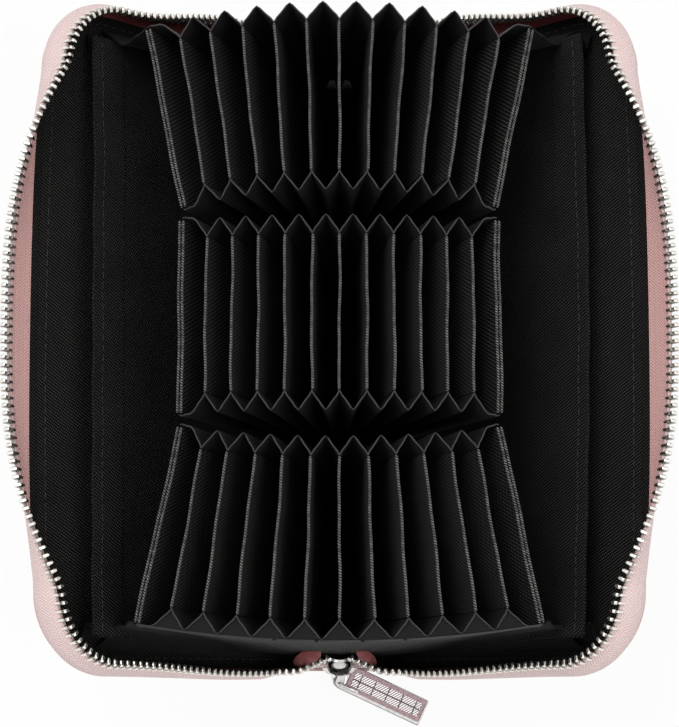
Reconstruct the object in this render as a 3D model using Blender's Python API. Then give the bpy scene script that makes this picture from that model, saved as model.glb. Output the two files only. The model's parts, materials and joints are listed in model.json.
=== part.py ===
"""Zip-around accordion card wallet, standing open on its spine.

X runs across the opened wallet, Y along its length, Z up. The origin is on the surface that the
spine rests on, under the middle of the wallet. Each cover leans outwards about its fold beside the
spine. Between the covers, three rows of upright dividers fan out from the middle of the spine, and
folded V gussets close the ends of the pockets between them.
"""

import math

import bmesh
import bpy
from mathutils import Matrix, Vector

# Covers and spine, in metres
WALLET_LENGTH = 0.204
SPINE_WIDTH = 0.0328
COVER_WIDTH = 0.100
COVER_CORNER_RADIUS = 0.022
COVER_BOW = 0.0040
LEATHER_THICKNESS = 0.0014
FOLD_CLEARANCE = 0.0004
COVER_LEAN = math.radians(46.0)

# Clearance between pieces that lie on each other
SEAT_GAP = 0.0003

# Card accordion
DIVIDERS_PER_SIDE = 6
DIVIDER_PITCH = 0.002
DIVIDER_THICKNESS = 0.0008
DIVIDER_HEIGHT = 0.084
BINDING_WIDTH = 0.0012
BINDING_HEIGHT = 0.0018
BOARD_THICKNESS = 0.002
BOARD_OVERHANG = 0.0012
ROW_END_INSET = 0.0075
ROW_GAP = 0.0060
GUSSET_DEPTH = 0.0066
GUSSET_THICKNESS = 0.0012
PANEL_END_GAP = 0.0009
MIDDLE_HALF_WIDTH = 0.0465
INNER_HALF_WIDTH = 0.0475
OUTER_HALF_WIDTH = 0.0568
OUTER_CORNER_RISE = 0.0155

# Note panels that stand off the covers
NOTE_PANEL_END_INSET = 0.011
NOTE_PANEL_EDGE_INSET = 0.014
NOTE_PANEL_START = 0.012
NOTE_PANEL_LEAN = math.radians(6.0)
FABRIC_THICKNESS = 0.0006
HEM_THICKNESS = 0.0012
HEM_HEIGHT = 0.003

# Zip
TAPE_WIDTH = 0.0095
TAPE_THICKNESS = 0.0006
CHAIN_WIDTH = 0.0032
CHAIN_THICKNESS = 0.0026
ZIP_END_LENGTH = 0.0165
ZIP_END_TAPE_SHARES = (1.0, 0.7, 0.4)
ZIP_END_SPINE_SHARES = (0.5, 1.0)
ZIP_END_MEET_SHARE = 0.42
STOP_WIDTH = 0.0045
STOP_HEIGHT = 0.0056
STOP_DROP = 0.0008
NEAR_SPINE_TAPE_TURN = math.radians(94.0)
NEAR_END_TAPE_TURN = math.radians(89.0)
FAR_SPINE_TAPE_TURN = math.radians(52.0)
FAR_END_TAPE_TURN = math.radians(58.0)
CORNER_TAPE_TURN = math.radians(102.0)
SIDE_TAPE_TURN = math.radians(12.0)
SIDE_TURN_POWER = 2.6
END_TURN_MIDDLE_SHARE = 0.36

# Slider and its pull
SLIDER_WIDTH = 0.0100
SLIDER_HEIGHT = 0.0098
SLIDER_BOTTOM = 0.0065
SLIDER_PLATE_THICKNESS = 0.0009
SLIDER_CHANNEL = 0.0046
SLIDER_POST_WIDTH = 0.0020
SLIDER_POST_HEIGHT = 0.0035
BRIDGE_WIDTH = 0.0052
BRIDGE_BAR = 0.0010
BRIDGE_REACH = 0.0028
BRIDGE_DEPTH = 0.0014
RING_RADIUS = 0.0033
RING_WIRE_RADIUS = 0.0005
PULL_LENGTH = 0.0270
PULL_WIDTH = 0.0088
PULL_THICKNESS = 0.0015
PULL_EYE_LENGTH = 0.0030
PULL_EYE_WIDTH = 0.0030
PULL_ROOT_WIDTH = 0.0048
PULL_RIM = 0.0011
PULL_NECK = 0.0060
PULL_TAPER = 0.0042
INLAY_DEPTH = 0.0006
PULL_TURN = math.radians(65.0)
PULL_DIP = math.radians(21.0)

# End walls
END_WALL_CLEARANCE = 0.0005
END_WALL_FOOT_STEP = 0.0010
END_WALL_START_SHARE = 0.06
END_WALL_REACH_SHARE = 0.76
END_WALL_LIP = 0.0032

COVER_COLUMNS = 14
ARC_STEPS = 6
SIDE_STEPS = 26
END_STEPS = 9
RING_STEPS = 24
RING_WIRE_STEPS = 2

HALF_LENGTH = WALLET_LENGTH / 2
HALF_LEATHER = LEATHER_THICKNESS / 2
FOLD_X = SPINE_WIDTH / 2 + FOLD_CLEARANCE
FOLD_Z = HALF_LEATHER
BOARD_BOTTOM = LEATHER_THICKNESS + SEAT_GAP
BOARD_TOP = BOARD_BOTTOM + BOARD_THICKNESS
DIVIDER_FOOT = BOARD_TOP + SEAT_GAP
ACCORDION_HALF = DIVIDERS_PER_SIDE * DIVIDER_PITCH
ROW_LENGTH = (WALLET_LENGTH - 2 * ROW_END_INSET - 2 * ROW_GAP) / 3
ROW_PITCH = ROW_LENGTH + ROW_GAP
NOTE_PANEL_LENGTH = WALLET_LENGTH - 2 * NOTE_PANEL_END_INSET
NOTE_PANEL_HEIGHT = COVER_WIDTH - NOTE_PANEL_START - NOTE_PANEL_EDGE_INSET
SLIDER_MIDDLE_Y = -(
    HALF_LENGTH
    + SEAT_GAP
    + TAPE_THICKNESS / 2
    + (TAPE_WIDTH + SEAT_GAP + CHAIN_WIDTH / 2) * math.cos(NEAR_SPINE_TAPE_TURN)
)

PINK = (0.86, 0.66, 0.63)
DUSTY_PINK = (0.80, 0.60, 0.58)
BLACK_TWILL = (0.012, 0.011, 0.011)
BLACK_RIB = (0.02, 0.019, 0.019)
SILVER = (0.78, 0.77, 0.74)
MAUVE = (0.62, 0.44, 0.47)


def clear_scene():
    for old in list(bpy.data.objects):
        bpy.data.objects.remove(old, do_unlink=True)


def material(name, colour, roughness, metallic=0.0):
    made = bpy.data.materials.get(name) or bpy.data.materials.new(name)
    made.use_nodes = True
    shader = made.node_tree.nodes["Principled BSDF"]
    shader.inputs["Base Color"].default_value = (*colour, 1.0)
    shader.inputs["Roughness"].default_value = roughness
    shader.inputs["Metallic"].default_value = metallic
    return made


def place(name, mesh, finish, place_matrix=None, parent=None):
    """One named piece, with its mesh in its own frame and its place in its matrix."""
    piece = bpy.data.objects.new(name, mesh)
    bpy.context.scene.collection.objects.link(piece)
    piece.data.materials.append(finish)
    piece.parent = parent
    if place_matrix is not None:
        piece.matrix_local = place_matrix
    return piece


def mesh_from(name, points, faces, smooth_angle=None, folded=False):
    """A mesh of these faces. A folded one has twisted faces, which are split into triangles."""
    work = bmesh.new()
    corners = [work.verts.new(point) for point in points]
    for face in faces:
        work.faces.new([corners[index] for index in face])
    bmesh.ops.recalc_face_normals(work, faces=work.faces)
    if folded:
        bmesh.ops.triangulate(work, faces=work.faces)
    mesh = bpy.data.meshes.new(name)
    work.to_mesh(mesh)
    work.free()
    if smooth_angle is not None:
        mesh.shade_smooth()
        mesh.set_sharp_from_angle(angle=smooth_angle)
    return mesh


def solid_between(name, front, back, smooth_angle=None):
    """A closed solid between two grids of points that have the same rows and columns.

    Both grids' squares are split along the same diagonal, so that the two sides never cross.
    """
    rows = len(front)
    columns = len(front[0])
    points = [point for grid in (front, back) for row in grid for point in row]

    def at(layer, row, column):
        return (layer * rows + row) * columns + column

    faces = []
    for row in range(rows - 1):
        for column in range(columns - 1):
            for layer in (0, 1):
                low = at(layer, row, column)
                high = at(layer, row + 1, column + 1)
                faces.append((low, at(layer, row + 1, column), high))
                faces.append((low, high, at(layer, row, column + 1)))
    for row in range(rows - 1):
        for column in (0, columns - 1):
            faces.append(
                (at(0, row, column), at(0, row + 1, column), at(1, row + 1, column), at(1, row, column))
            )
    for column in range(columns - 1):
        for row in (0, rows - 1):
            faces.append(
                (at(0, row, column), at(0, row, column + 1), at(1, row, column + 1), at(1, row, column))
            )
    return mesh_from(name, points, faces, smooth_angle, folded=True)


def sheet_solid(name, grid, thickness, smooth_angle=None):
    """A sheet of even thickness on both sides of a grid of points."""
    rows = len(grid)
    columns = len(grid[0])
    front = []
    back = []
    for row in range(rows):
        front_row = []
        back_row = []
        for column in range(columns):
            along = grid[min(row + 1, rows - 1)][column] - grid[max(row - 1, 0)][column]
            across = grid[row][min(column + 1, columns - 1)] - grid[row][max(column - 1, 0)]
            half = along.cross(across).normalized() * (thickness / 2)
            front_row.append(grid[row][column] + half)
            back_row.append(grid[row][column] - half)
        front.append(front_row)
        back.append(back_row)
    return solid_between(name, front, back, smooth_angle)


def bar_solid(name, path, width_ways, width, thickness, smooth_angle=None):
    """A bar of rectangular section along a path; its width lies along the given directions."""
    front = []
    back = []
    for index, point in enumerate(path):
        along = path[min(index + 1, len(path) - 1)] - path[max(index - 1, 0)]
        wide = width_ways[index].normalized() * (width / 2)
        deep = along.cross(width_ways[index]).normalized() * (thickness / 2)
        front.append([point - wide + deep, point + wide + deep])
        back.append([point - wide - deep, point + wide - deep])
    return solid_between(name, front, back, smooth_angle)


def box_mesh(name, low, high):
    points = [
        (low[0] if a else high[0], low[1] if b else high[1], low[2] if c else high[2])
        for a in (1, 0)
        for b in (1, 0)
        for c in (1, 0)
    ]
    faces = [(0, 1, 3, 2), (4, 6, 7, 5), (0, 4, 5, 1), (2, 3, 7, 6), (0, 2, 6, 4), (1, 5, 7, 3)]
    return mesh_from(name, points, faces)


def joined(name, meshes, finish, operation="UNION"):
    """The first mesh with the others joined to it, or cut from it, as one solid."""
    whole = place(name, meshes[0], finish)
    for number, other in enumerate(meshes[1:]):
        helper = place(f"{name}_helper_{number}", other, finish)
        helper.hide_render = True
        helper.display_type = "WIRE"
        step = whole.modifiers.new(f"step_{number}", "BOOLEAN")
        step.operation = operation
        step.object = helper
        step.solver = "EXACT"
    return whole


def ease(share):
    """A smooth step from 0 to 1."""
    share = min(max(share, 0.0), 1.0)
    return share * share * (3 - 2 * share)


def cover_frame(side):
    """The empty on a cover's fold. Its own Z runs up the cover and X points away from the spine."""
    frame = bpy.data.objects.new("fold_" + side_name(side), None)
    bpy.context.scene.collection.objects.link(frame)
    frame.location = (side * FOLD_X, 0, FOLD_Z)
    frame.rotation_euler = (0, side * COVER_LEAN, 0)
    return frame


def cover_matrix(side):
    return Matrix.Translation((side * FOLD_X, 0, FOLD_Z)) @ Matrix.Rotation(side * COVER_LEAN, 4, "Y")


def side_name(side):
    return "right" if side > 0 else "left"


def end_name(end):
    return "far" if end > 0 else "near"


def bow_at(up, y):
    """How far the cover swells outwards, most at the middle of its free edge."""
    return COVER_BOW * (up / COVER_WIDTH) ** 2 * (1 - (y / HALF_LENGTH) ** 2)


def cover_half_length(up):
    """Half the cover's length at this height above its fold, with the rounded free corners."""
    over = up - (COVER_WIDTH - COVER_CORNER_RADIUS)
    if over <= 0:
        return HALF_LENGTH
    within = max(COVER_CORNER_RADIUS**2 - over**2, 0.0)
    return HALF_LENGTH - COVER_CORNER_RADIUS + math.sqrt(within)


def cover_rows():
    """Heights above the fold: even steps up to the rounded corners, then steps round their arc."""
    start = HALF_LEATHER + FOLD_CLEARANCE
    arc_start = COVER_WIDTH - COVER_CORNER_RADIUS
    straight = [start + (arc_start - start) * step / ARC_STEPS for step in range(ARC_STEPS)]
    arc = [
        arc_start + COVER_CORNER_RADIUS * math.sin(math.pi / 2 * step / ARC_STEPS)
        for step in range(ARC_STEPS + 1)
    ]
    return straight + arc


def make_cover(side, frame):
    """Leather cover with its fabric lining laid on, bowed out at its free edge."""
    front = []
    back = []
    for up in cover_rows():
        half = cover_half_length(up)
        front_row = []
        back_row = []
        for column in range(COVER_COLUMNS + 1):
            y = half * (2 * column / COVER_COLUMNS - 1)
            middle = bow_at(up, y)
            front_row.append(Vector((side * (middle - HALF_LEATHER), y, up)))
            back_row.append(Vector((side * (middle + HALF_LEATHER), y, up)))
        front.append(front_row)
        back.append(back_row)
    mesh = solid_between("cover", front, back, math.radians(40))
    place("cover_" + side_name(side), mesh, material("pink leather", PINK, 0.5), parent=frame)


def make_spine_cover():
    half = SPINE_WIDTH / 2
    mesh = box_mesh("spine", (-half, -HALF_LENGTH, 0), (half, HALF_LENGTH, LEATHER_THICKNESS))
    place("spine_cover", mesh, material("pink leather", PINK, 0.5))


def make_note_panel(side, frame):
    """Fabric panel that stands off the cover, hinged on its sewn foot, with a hem along its mouth."""
    foot_x = -side * (HALF_LEATHER + SEAT_GAP + FABRIC_THICKNESS / 2)
    half = NOTE_PANEL_LENGTH / 2
    thin = FABRIC_THICKNESS / 2
    thick = HEM_THICKNESS / 2
    hem = NOTE_PANEL_HEIGHT - HEM_HEIGHT
    profile = [
        (-thin, 0),
        (-thin, hem),
        (-thick, hem + thick),
        (-thick, NOTE_PANEL_HEIGHT),
        (thick, NOTE_PANEL_HEIGHT),
        (thick, hem + thick),
        (thin, hem),
        (thin, 0),
    ]
    mesh = prism_along_y("note_panel", profile, -half, half)
    matrix = Matrix.Translation((foot_x, 0, NOTE_PANEL_START)) @ Matrix.Rotation(
        -side * NOTE_PANEL_LEAN, 4, "Y"
    )
    fabric = material("black twill", BLACK_TWILL, 0.8)
    place("note_panel_" + side_name(side), mesh, fabric, matrix, frame)


def prism_along_y(name, profile, start, end):
    """A prism whose outline in X and Z runs from one Y to another."""
    count = len(profile)
    points = [(x, y, z) for y in (start, end) for x, z in profile]
    faces = [tuple(range(count)), tuple(range(count, 2 * count))]
    for index in range(count):
        following = (index + 1) % count
        faces.append((index, following, count + following, count + index))
    return mesh_from(name, points, faces)


def plate_mesh(name, outline, low, high):
    """A flat plate whose outline in X and Y runs from one height to another."""
    count = len(outline)
    points = [(x, y, z) for z in (low, high) for x, y in outline]
    faces = [tuple(range(count)), tuple(range(count, 2 * count))]
    for index in range(count):
        following = (index + 1) % count
        faces.append((index, following, count + following, count + index))
    return mesh_from(name, points, faces)


class Row:
    """One row of dividers. Its direction is 0 for the middle row, 1 for the far and -1 for the near one."""

    def __init__(self, name, direction):
        self.name = name
        self.direction = direction
        self.middle = direction * ROW_PITCH
        self.half_divider = ROW_LENGTH / 2 - GUSSET_DEPTH
        self.half_row = ROW_LENGTH / 2
        inner_spread = (INNER_HALF_WIDTH if direction else MIDDLE_HALF_WIDTH) - ACCORDION_HALF
        outer_spread = OUTER_HALF_WIDTH - ACCORDION_HALF
        drop = DIVIDER_HEIGHT * (outer_spread / inner_spread - 1) if direction else 0.0
        self.slope = math.atan2(drop, 2 * self.half_divider)
        self.inner_y = self.middle - direction * self.half_divider
        self.axis = Vector((0, math.cos(self.slope), -direction * math.sin(self.slope)))
        self.arm = DIVIDER_HEIGHT * math.cos(self.slope)
        self.fan = math.asin(inner_spread / self.arm)

    def pivot(self, index):
        """A point of this divider's fold line, at the row's inner end."""
        return Vector((index * DIVIDER_PITCH, self.inner_y, DIVIDER_FOOT))

    def lean(self, index):
        return self.fan * index / DIVIDERS_PER_SIDE

    def matrix(self, index):
        """Turns a divider from its upright place in the closed wallet to its place in the fan."""
        return Matrix.Translation(self.pivot(index)) @ Matrix.Rotation(self.lean(index), 4, self.axis)

    def outer_share(self, y):
        """0 at the row's inner end and 1 at its outer end; 0 all along the middle row."""
        if not self.direction:
            return 0.0
        return (y - self.inner_y) * self.direction / (2 * self.half_divider)

    def foot(self, y):
        """Height of a divider's lower edge above its fold line's start: it rises to the outer end."""
        return max(OUTER_CORNER_RISE * self.outer_share(y), 0.0)

    def on_fan(self, share, y, height):
        """A point of the fanned row: the share runs across the dividers, 0 at the middle one."""
        return self.matrix(share) @ Vector((0, y - self.inner_y, height))


ROWS = (Row("far", 1), Row("middle", 0), Row("near", -1))


def divider_mesh(row, end_panel):
    """An upright divider with a rounded binding along its top, in the frame of its fold line."""
    reach = row.half_row - PANEL_END_GAP if end_panel else row.half_divider
    thin = DIVIDER_THICKNESS / 2
    thick = BINDING_WIDTH / 2
    binding = DIVIDER_HEIGHT - BINDING_HEIGHT
    ends = (row.middle - reach, row.middle + reach)
    points = []
    for y in ends:
        low = row.foot(y)
        outline = [
            (-thin, low),
            (-thin, binding),
            (-thick, binding + thin),
            (-thick, DIVIDER_HEIGHT - thin),
            (-thin, DIVIDER_HEIGHT),
            (thin, DIVIDER_HEIGHT),
            (thick, DIVIDER_HEIGHT - thin),
            (thick, binding + thin),
            (thin, binding),
            (thin, low),
        ]
        points.extend((x, y - row.inner_y, z) for x, z in outline)
    count = len(points) // 2
    faces = [tuple(range(count)), tuple(range(count, 2 * count))]
    for index in range(count):
        following = (index + 1) % count
        faces.append((index, following, count + following, count + index))
    return mesh_from("divider", points, faces)


def make_dividers():
    """Six dividers on each side of each row. The last is the row's end panel and is longer."""
    fabric = material("black twill", BLACK_TWILL, 0.8)
    for row in ROWS:
        divider = divider_mesh(row, False)
        end_panel = divider_mesh(row, True)
        for side in (-1, 1):
            for number in range(1, DIVIDERS_PER_SIDE + 1):
                mesh = end_panel if number == DIVIDERS_PER_SIDE else divider
                name = f"divider_{row.name}_{side_name(side)}_{number}"
                place(name, mesh, fabric, row.matrix(side * number))


def make_accordion_base():
    """Fabric-covered board on the spine, with the three middle dividers that stand up from it."""
    half = ACCORDION_HALF + BOARD_OVERHANG
    length = ROWS[0].middle + ROW_LENGTH / 2
    board = box_mesh("board", (-half, -length, BOARD_BOTTOM), (half, length, BOARD_TOP))
    fins = []
    sink = BOARD_THICKNESS / 2
    for row in ROWS:
        fin = divider_mesh(row, False)
        for vertex in fin.vertices:
            vertex.co += row.pivot(0)
            if vertex.co.z < DIVIDER_FOOT + DIVIDER_HEIGHT / 2:
                vertex.co.z = BOARD_TOP - sink
        fins.append(fin)
    joined("accordion_base", [board] + fins, material("black twill", BLACK_TWILL, 0.8))


def make_pocket_gusset(row, end):
    """One folded strip that closes a row's pockets at one end: a V outwards between each two dividers."""
    y_inner = row.middle + end * (row.half_divider + SEAT_GAP)
    y_outer = row.middle + end * (row.half_row - GUSSET_THICKNESS)
    y_panel = row.middle + end * (row.half_row + SEAT_GAP)
    top = DIVIDER_HEIGHT - BINDING_WIDTH / 2
    last = 2 * DIVIDERS_PER_SIDE
    inner = []
    outer = []
    outward = Vector((0, end * GUSSET_THICKNESS, 0))
    for step in range(-last, last + 1):
        is_tip = step % 2
        is_panel = abs(step) == last
        y = y_panel if is_panel else (y_outer if is_tip else y_inner)
        low = row.foot(y) + DIVIDER_THICKNESS
        column_inner = [row.on_fan(step / 2, y, height) for height in (low, top)]
        inner.append(column_inner)
        thin = outward * (FABRIC_THICKNESS / GUSSET_THICKNESS) if is_panel else outward
        outer.append([point + thin for point in column_inner])
    mesh = solid_between("pocket_gusset", inner, outer)
    place(f"pocket_gusset_{row.name}_{end_name(end)}_end", mesh, material("black rib", BLACK_RIB, 0.75))


def make_end_wall(end):
    """Fabric wall across one end of the wallet, from cover to cover, up to the dividers' tops."""
    row = ROWS[0] if end > 0 else ROWS[2]
    y_top = HALF_LENGTH - ROW_END_INSET + END_WALL_CLEARANCE
    y_foot = y_top + END_WALL_FOOT_STEP
    matrix = cover_matrix(1)
    lining = HALF_LEATHER + SEAT_GAP + FABRIC_THICKNESS
    half = []
    for number in range(DIVIDERS_PER_SIDE + 1):
        top = row.on_fan(number, row.middle + end * row.half_divider, DIVIDER_HEIGHT - BINDING_HEIGHT)
        foot = Vector((number * DIVIDER_PITCH, 0, DIVIDER_FOOT))
        half.append((foot, top))
    reach = COVER_WIDTH * END_WALL_REACH_SHARE
    corner = half[-1][1]
    steps = DIVIDERS_PER_SIDE
    start = COVER_WIDTH * END_WALL_START_SHARE
    last_top = matrix @ Vector((-lining, 0, reach + END_WALL_LIP))
    for number in range(steps + 1):
        share = number / steps
        foot = matrix @ Vector((-lining, 0, start + (reach - start) * share))
        top = corner.lerp(last_top, share or 1 / (2 * steps))
        half.append((foot, top))
    inner = []
    outer = []
    for side in (-1, 1):
        stations = half[:0:-1] if side < 0 else half
        for foot, top in stations:
            low = Vector((side * foot.x, end * y_foot, foot.z))
            high = Vector((side * top.x, end * y_top, top.z))
            column = [low, (low + high) / 2, high]
            inner.append(column)
            outer.append([point + Vector((0, end * FABRIC_THICKNESS, 0)) for point in column])
    mesh = solid_between("end_wall", inner, outer)
    place(f"end_wall_{end_name(end)}", mesh, material("black rib", BLACK_RIB, 0.75))


def tape_turn(up, y):
    """How far the tape turns in from the cover's plane, at this point of the cover's outline."""
    corner_up = COVER_WIDTH - COVER_CORNER_RADIUS
    straight = HALF_LENGTH - COVER_CORNER_RADIUS
    if abs(y) < straight:
        share = (abs(y) / straight) ** SIDE_TURN_POWER
        return SIDE_TAPE_TURN + (CORNER_TAPE_TURN - SIDE_TAPE_TURN) * share
    spine_turn = NEAR_SPINE_TAPE_TURN if y < 0 else FAR_SPINE_TAPE_TURN
    end_turn = NEAR_END_TAPE_TURN if y < 0 else FAR_END_TAPE_TURN
    middle = corner_up * END_TURN_MIDDLE_SHARE
    if up < middle:
        return spine_turn + (end_turn - spine_turn) * ease(up / middle)
    return end_turn + (CORNER_TAPE_TURN - end_turn) * ease((up - middle) / (corner_up - middle))


def rim_stations(side):
    """Points round the cover's outline from the near end to the far end, in the cover's frame.

    Each station gives the point on the outline, and the direction in which the tape leaves it.
    """
    corner_up = COVER_WIDTH - COVER_CORNER_RADIUS
    straight = HALF_LENGTH - COVER_CORNER_RADIUS
    outline = []
    for step in range(END_STEPS):
        up = ZIP_END_LENGTH + (corner_up - ZIP_END_LENGTH) * step / END_STEPS
        outline.append((up, -HALF_LENGTH, 0.0, -1.0))
    for step in range(ARC_STEPS):
        angle = math.pi / 2 * step / ARC_STEPS
        up = corner_up + COVER_CORNER_RADIUS * math.sin(angle)
        y = -straight - COVER_CORNER_RADIUS * math.cos(angle)
        outline.append((up, y, math.sin(angle), -math.cos(angle)))
    for step in range(SIDE_STEPS + 1):
        outline.append((COVER_WIDTH, straight * (2 * step / SIDE_STEPS - 1), 1.0, 0.0))
    for step in range(ARC_STEPS - 1, -1, -1):
        angle = math.pi / 2 * step / ARC_STEPS
        up = corner_up + COVER_CORNER_RADIUS * math.sin(angle)
        y = straight + COVER_CORNER_RADIUS * math.cos(angle)
        outline.append((up, y, math.sin(angle), math.cos(angle)))
    for step in range(END_STEPS - 1, -1, -1):
        up = ZIP_END_LENGTH + (corner_up - ZIP_END_LENGTH) * step / END_STEPS
        outline.append((up, HALF_LENGTH, 0.0, 1.0))
    return [rim_station(side, *entry) for entry in outline]


def rim_station(side, up, y, out_up, out_y):
    outward = Vector((0, out_y, out_up))
    inward = Vector((-side, 0, 0))
    turn = tape_turn(up, y)
    way = outward * math.cos(turn) + inward * math.sin(turn)
    point = Vector((side * bow_at(up, y), y, up)) + outward * (SEAT_GAP + TAPE_THICKNESS / 2)
    return point, way


def make_zip_half(side, frame):
    """Tape along the cover's edge, with the chain of teeth along its free edge."""
    stations = rim_stations(side)
    tape_grid = [[point, point + way * TAPE_WIDTH] for point, way in stations]
    tape = sheet_solid("tape", tape_grid, TAPE_THICKNESS, math.radians(40))
    place("zip_tape_" + side_name(side), tape, material("pink tape", DUSTY_PINK, 0.75), parent=frame)
    reach = TAPE_WIDTH + SEAT_GAP + CHAIN_WIDTH / 2
    path = [point + way * reach for point, way in stations]
    ways = [way for _, way in stations]
    chain = bar_solid("chain", path, ways, CHAIN_WIDTH, CHAIN_THICKNESS, math.radians(40))
    metal = material("silver teeth", SILVER, 0.3, 1.0)
    place("zip_teeth_" + side_name(side), chain, metal, parent=frame)


def zip_end_half(side, end):
    """Tape edge and teeth line from the end of the cover's zip half to beside the spine's middle."""
    matrix = cover_matrix(side)
    stations = []
    for share in ZIP_END_TAPE_SHARES:
        point, way = rim_station(side, ZIP_END_LENGTH * share - SEAT_GAP, end * HALF_LENGTH, 0.0, end)
        edge = matrix @ point
        stations.append((edge, matrix @ (point + way * TAPE_WIDTH)))
    last_edge, last_line = stations[-1]
    meet_x = side * SLIDER_WIDTH * ZIP_END_MEET_SHARE
    for share in ZIP_END_SPINE_SHARES:
        edge = Vector((last_edge.x + (meet_x - last_edge.x) * share, last_edge.y, last_edge.z))
        edge.z = max(edge.z * (1 - share), LEATHER_THICKNESS + SEAT_GAP)
        line = last_line.copy()
        line.x += (meet_x - last_line.x) * share
        stations.append((edge, line))
    return stations


def make_zip_end(end):
    """Loose end of the zip beside the spine: tape from both covers, the last teeth, and the stop."""
    left = zip_end_half(-1, end)
    right = zip_end_half(1, end)
    stations = left + right[::-1]
    web = sheet_solid("web", [[edge, line] for edge, line in stations], TAPE_THICKNESS)
    ways = [line - edge for edge, line in stations]
    bars = []
    for half, half_ways in ((left, ways[: len(left)]), (right[::-1], ways[len(left) :])):
        path = [line for _, line in half]
        bars.append(bar_solid("teeth", path, half_ways, CHAIN_WIDTH, CHAIN_THICKNESS))
    line = left[-1][1]
    top = line.z - STOP_DROP
    low = (-STOP_WIDTH / 2, line.y - CHAIN_THICKNESS / 2, top - STOP_HEIGHT)
    high = (STOP_WIDTH / 2, line.y + CHAIN_THICKNESS / 2, top)
    stop = box_mesh("stop", low, high)
    name = f"zip_end_{end_name(end)}"
    joined(name, [web] + bars + [stop], material("pink tape", DUSTY_PINK, 0.75))


def make_slider():
    """Zip slider: two plates with a wedge between them, and a small bridge that holds the ring."""
    half = SLIDER_WIDTH / 2
    top = SLIDER_BOTTOM + SLIDER_HEIGHT
    gap = SLIDER_CHANNEL / 2
    thick = SLIDER_PLATE_THICKNESS
    sink = thick / 2
    middle = SLIDER_MIDDLE_Y
    plates = [
        box_mesh("inner_plate", (-half, middle + gap, SLIDER_BOTTOM), (half, middle + gap + thick, top)),
        box_mesh("outer_plate", (-half, middle - gap - thick, SLIDER_BOTTOM), (half, middle - gap, top)),
    ]
    post = box_mesh(
        "post",
        (-SLIDER_POST_WIDTH / 2, middle - gap - sink, top - SLIDER_POST_HEIGHT),
        (SLIDER_POST_WIDTH / 2, middle + gap + sink, top),
    )
    face = middle - gap - thick
    bridge_z = SLIDER_BOTTOM + SLIDER_HEIGHT / 2
    low_z = bridge_z - BRIDGE_DEPTH / 2
    high_z = bridge_z + BRIDGE_DEPTH / 2
    arch = BRIDGE_WIDTH / 2
    legs = [
        box_mesh("leg", (x, face - BRIDGE_REACH, low_z), (x + BRIDGE_BAR, face + sink, high_z))
        for x in (-arch, arch - BRIDGE_BAR)
    ]
    bar = box_mesh(
        "bar", (-arch, face - BRIDGE_REACH, low_z), (arch, face - BRIDGE_REACH + BRIDGE_BAR, high_z)
    )
    joined("slider_body", plates + [post] + legs + [bar], material("silver metal", SILVER, 0.2, 1.0))
    return Vector((0, face - (BRIDGE_REACH - BRIDGE_BAR) / 2, bridge_z))


def pull_way():
    """Level direction in which the ring and the pull lie, turned to the right of straight out."""
    return Vector((math.sin(PULL_TURN), -math.cos(PULL_TURN), 0))


def make_pull(hold):
    """Ring through the slider's bridge, and the pull that hangs on it with its inlaid panel."""
    way = pull_way()
    side_way = way.cross(Vector((0, 0, 1)))
    centre = hold + way * RING_RADIUS
    curve = bpy.data.curves.new("ring", "CURVE")
    curve.dimensions = "3D"
    curve.bevel_depth = RING_WIRE_RADIUS
    curve.bevel_resolution = RING_WIRE_STEPS
    spline = curve.splines.new("POLY")
    spline.points.add(RING_STEPS - 1)
    for index in range(RING_STEPS):
        angle = 2 * math.pi * index / RING_STEPS
        point = way * (RING_RADIUS * math.cos(angle)) + Vector((0, 0, RING_RADIUS * math.sin(angle)))
        spline.points[index].co = (*point, 1)
    spline.use_cyclic_u = True
    metal = material("silver metal", SILVER, 0.2, 1.0)
    place("pull_ring", curve, metal, Matrix.Translation(centre))

    along = (way * math.cos(PULL_DIP) - Vector((0, 0, math.sin(PULL_DIP)))).normalized()
    up = side_way.cross(along)
    frame = Matrix((side_way, along, up)).transposed().to_4x4()
    frame.translation = centre
    half = PULL_WIDTH / 2
    thick = PULL_THICKNESS / 2
    eye = RING_RADIUS
    start = eye - PULL_EYE_LENGTH / 2 - PULL_RIM
    end = start + PULL_LENGTH
    root = PULL_ROOT_WIDTH / 2
    outline = [
        (-root, start),
        (root, start),
        (half, start + PULL_TAPER),
        (half, end),
        (-half, end),
        (-half, start + PULL_TAPER),
    ]
    body = plate_mesh("pull", outline, -thick, thick)
    hole = box_mesh(
        "hole",
        (-PULL_EYE_WIDTH / 2, eye - PULL_EYE_LENGTH / 2, -PULL_THICKNESS),
        (PULL_EYE_WIDTH / 2, eye + PULL_EYE_LENGTH / 2, PULL_THICKNESS),
    )
    recess = box_mesh(
        "recess",
        (-half + PULL_RIM, start + PULL_NECK, thick - INLAY_DEPTH - SEAT_GAP),
        (half - PULL_RIM, end - PULL_RIM, thick + PULL_THICKNESS),
    )
    for mesh in (body, hole, recess):
        mesh.transform(frame)
    joined("pull_tag", [body, hole, recess], metal, "DIFFERENCE")
    inlay = box_mesh(
        "inlay",
        (-half + PULL_RIM + SEAT_GAP, start + PULL_NECK + SEAT_GAP, thick - INLAY_DEPTH),
        (half - PULL_RIM - SEAT_GAP, end - PULL_RIM - SEAT_GAP, thick),
    )
    place("pull_inlay", inlay, material("mauve enamel", MAUVE, 0.3), frame)


def build():
    clear_scene()
    make_spine_cover()
    make_accordion_base()
    make_dividers()
    for row in ROWS:
        for end in (-1, 1):
            make_pocket_gusset(row, end)
    for end in (-1, 1):
        make_end_wall(end)
        make_zip_end(end)
    for side in (-1, 1):
        frame = cover_frame(side)
        make_cover(side, frame)
        make_note_panel(side, frame)
        make_zip_half(side, frame)
    make_pull(make_slider())


build()
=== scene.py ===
import json
import math
from functools import partial

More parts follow.
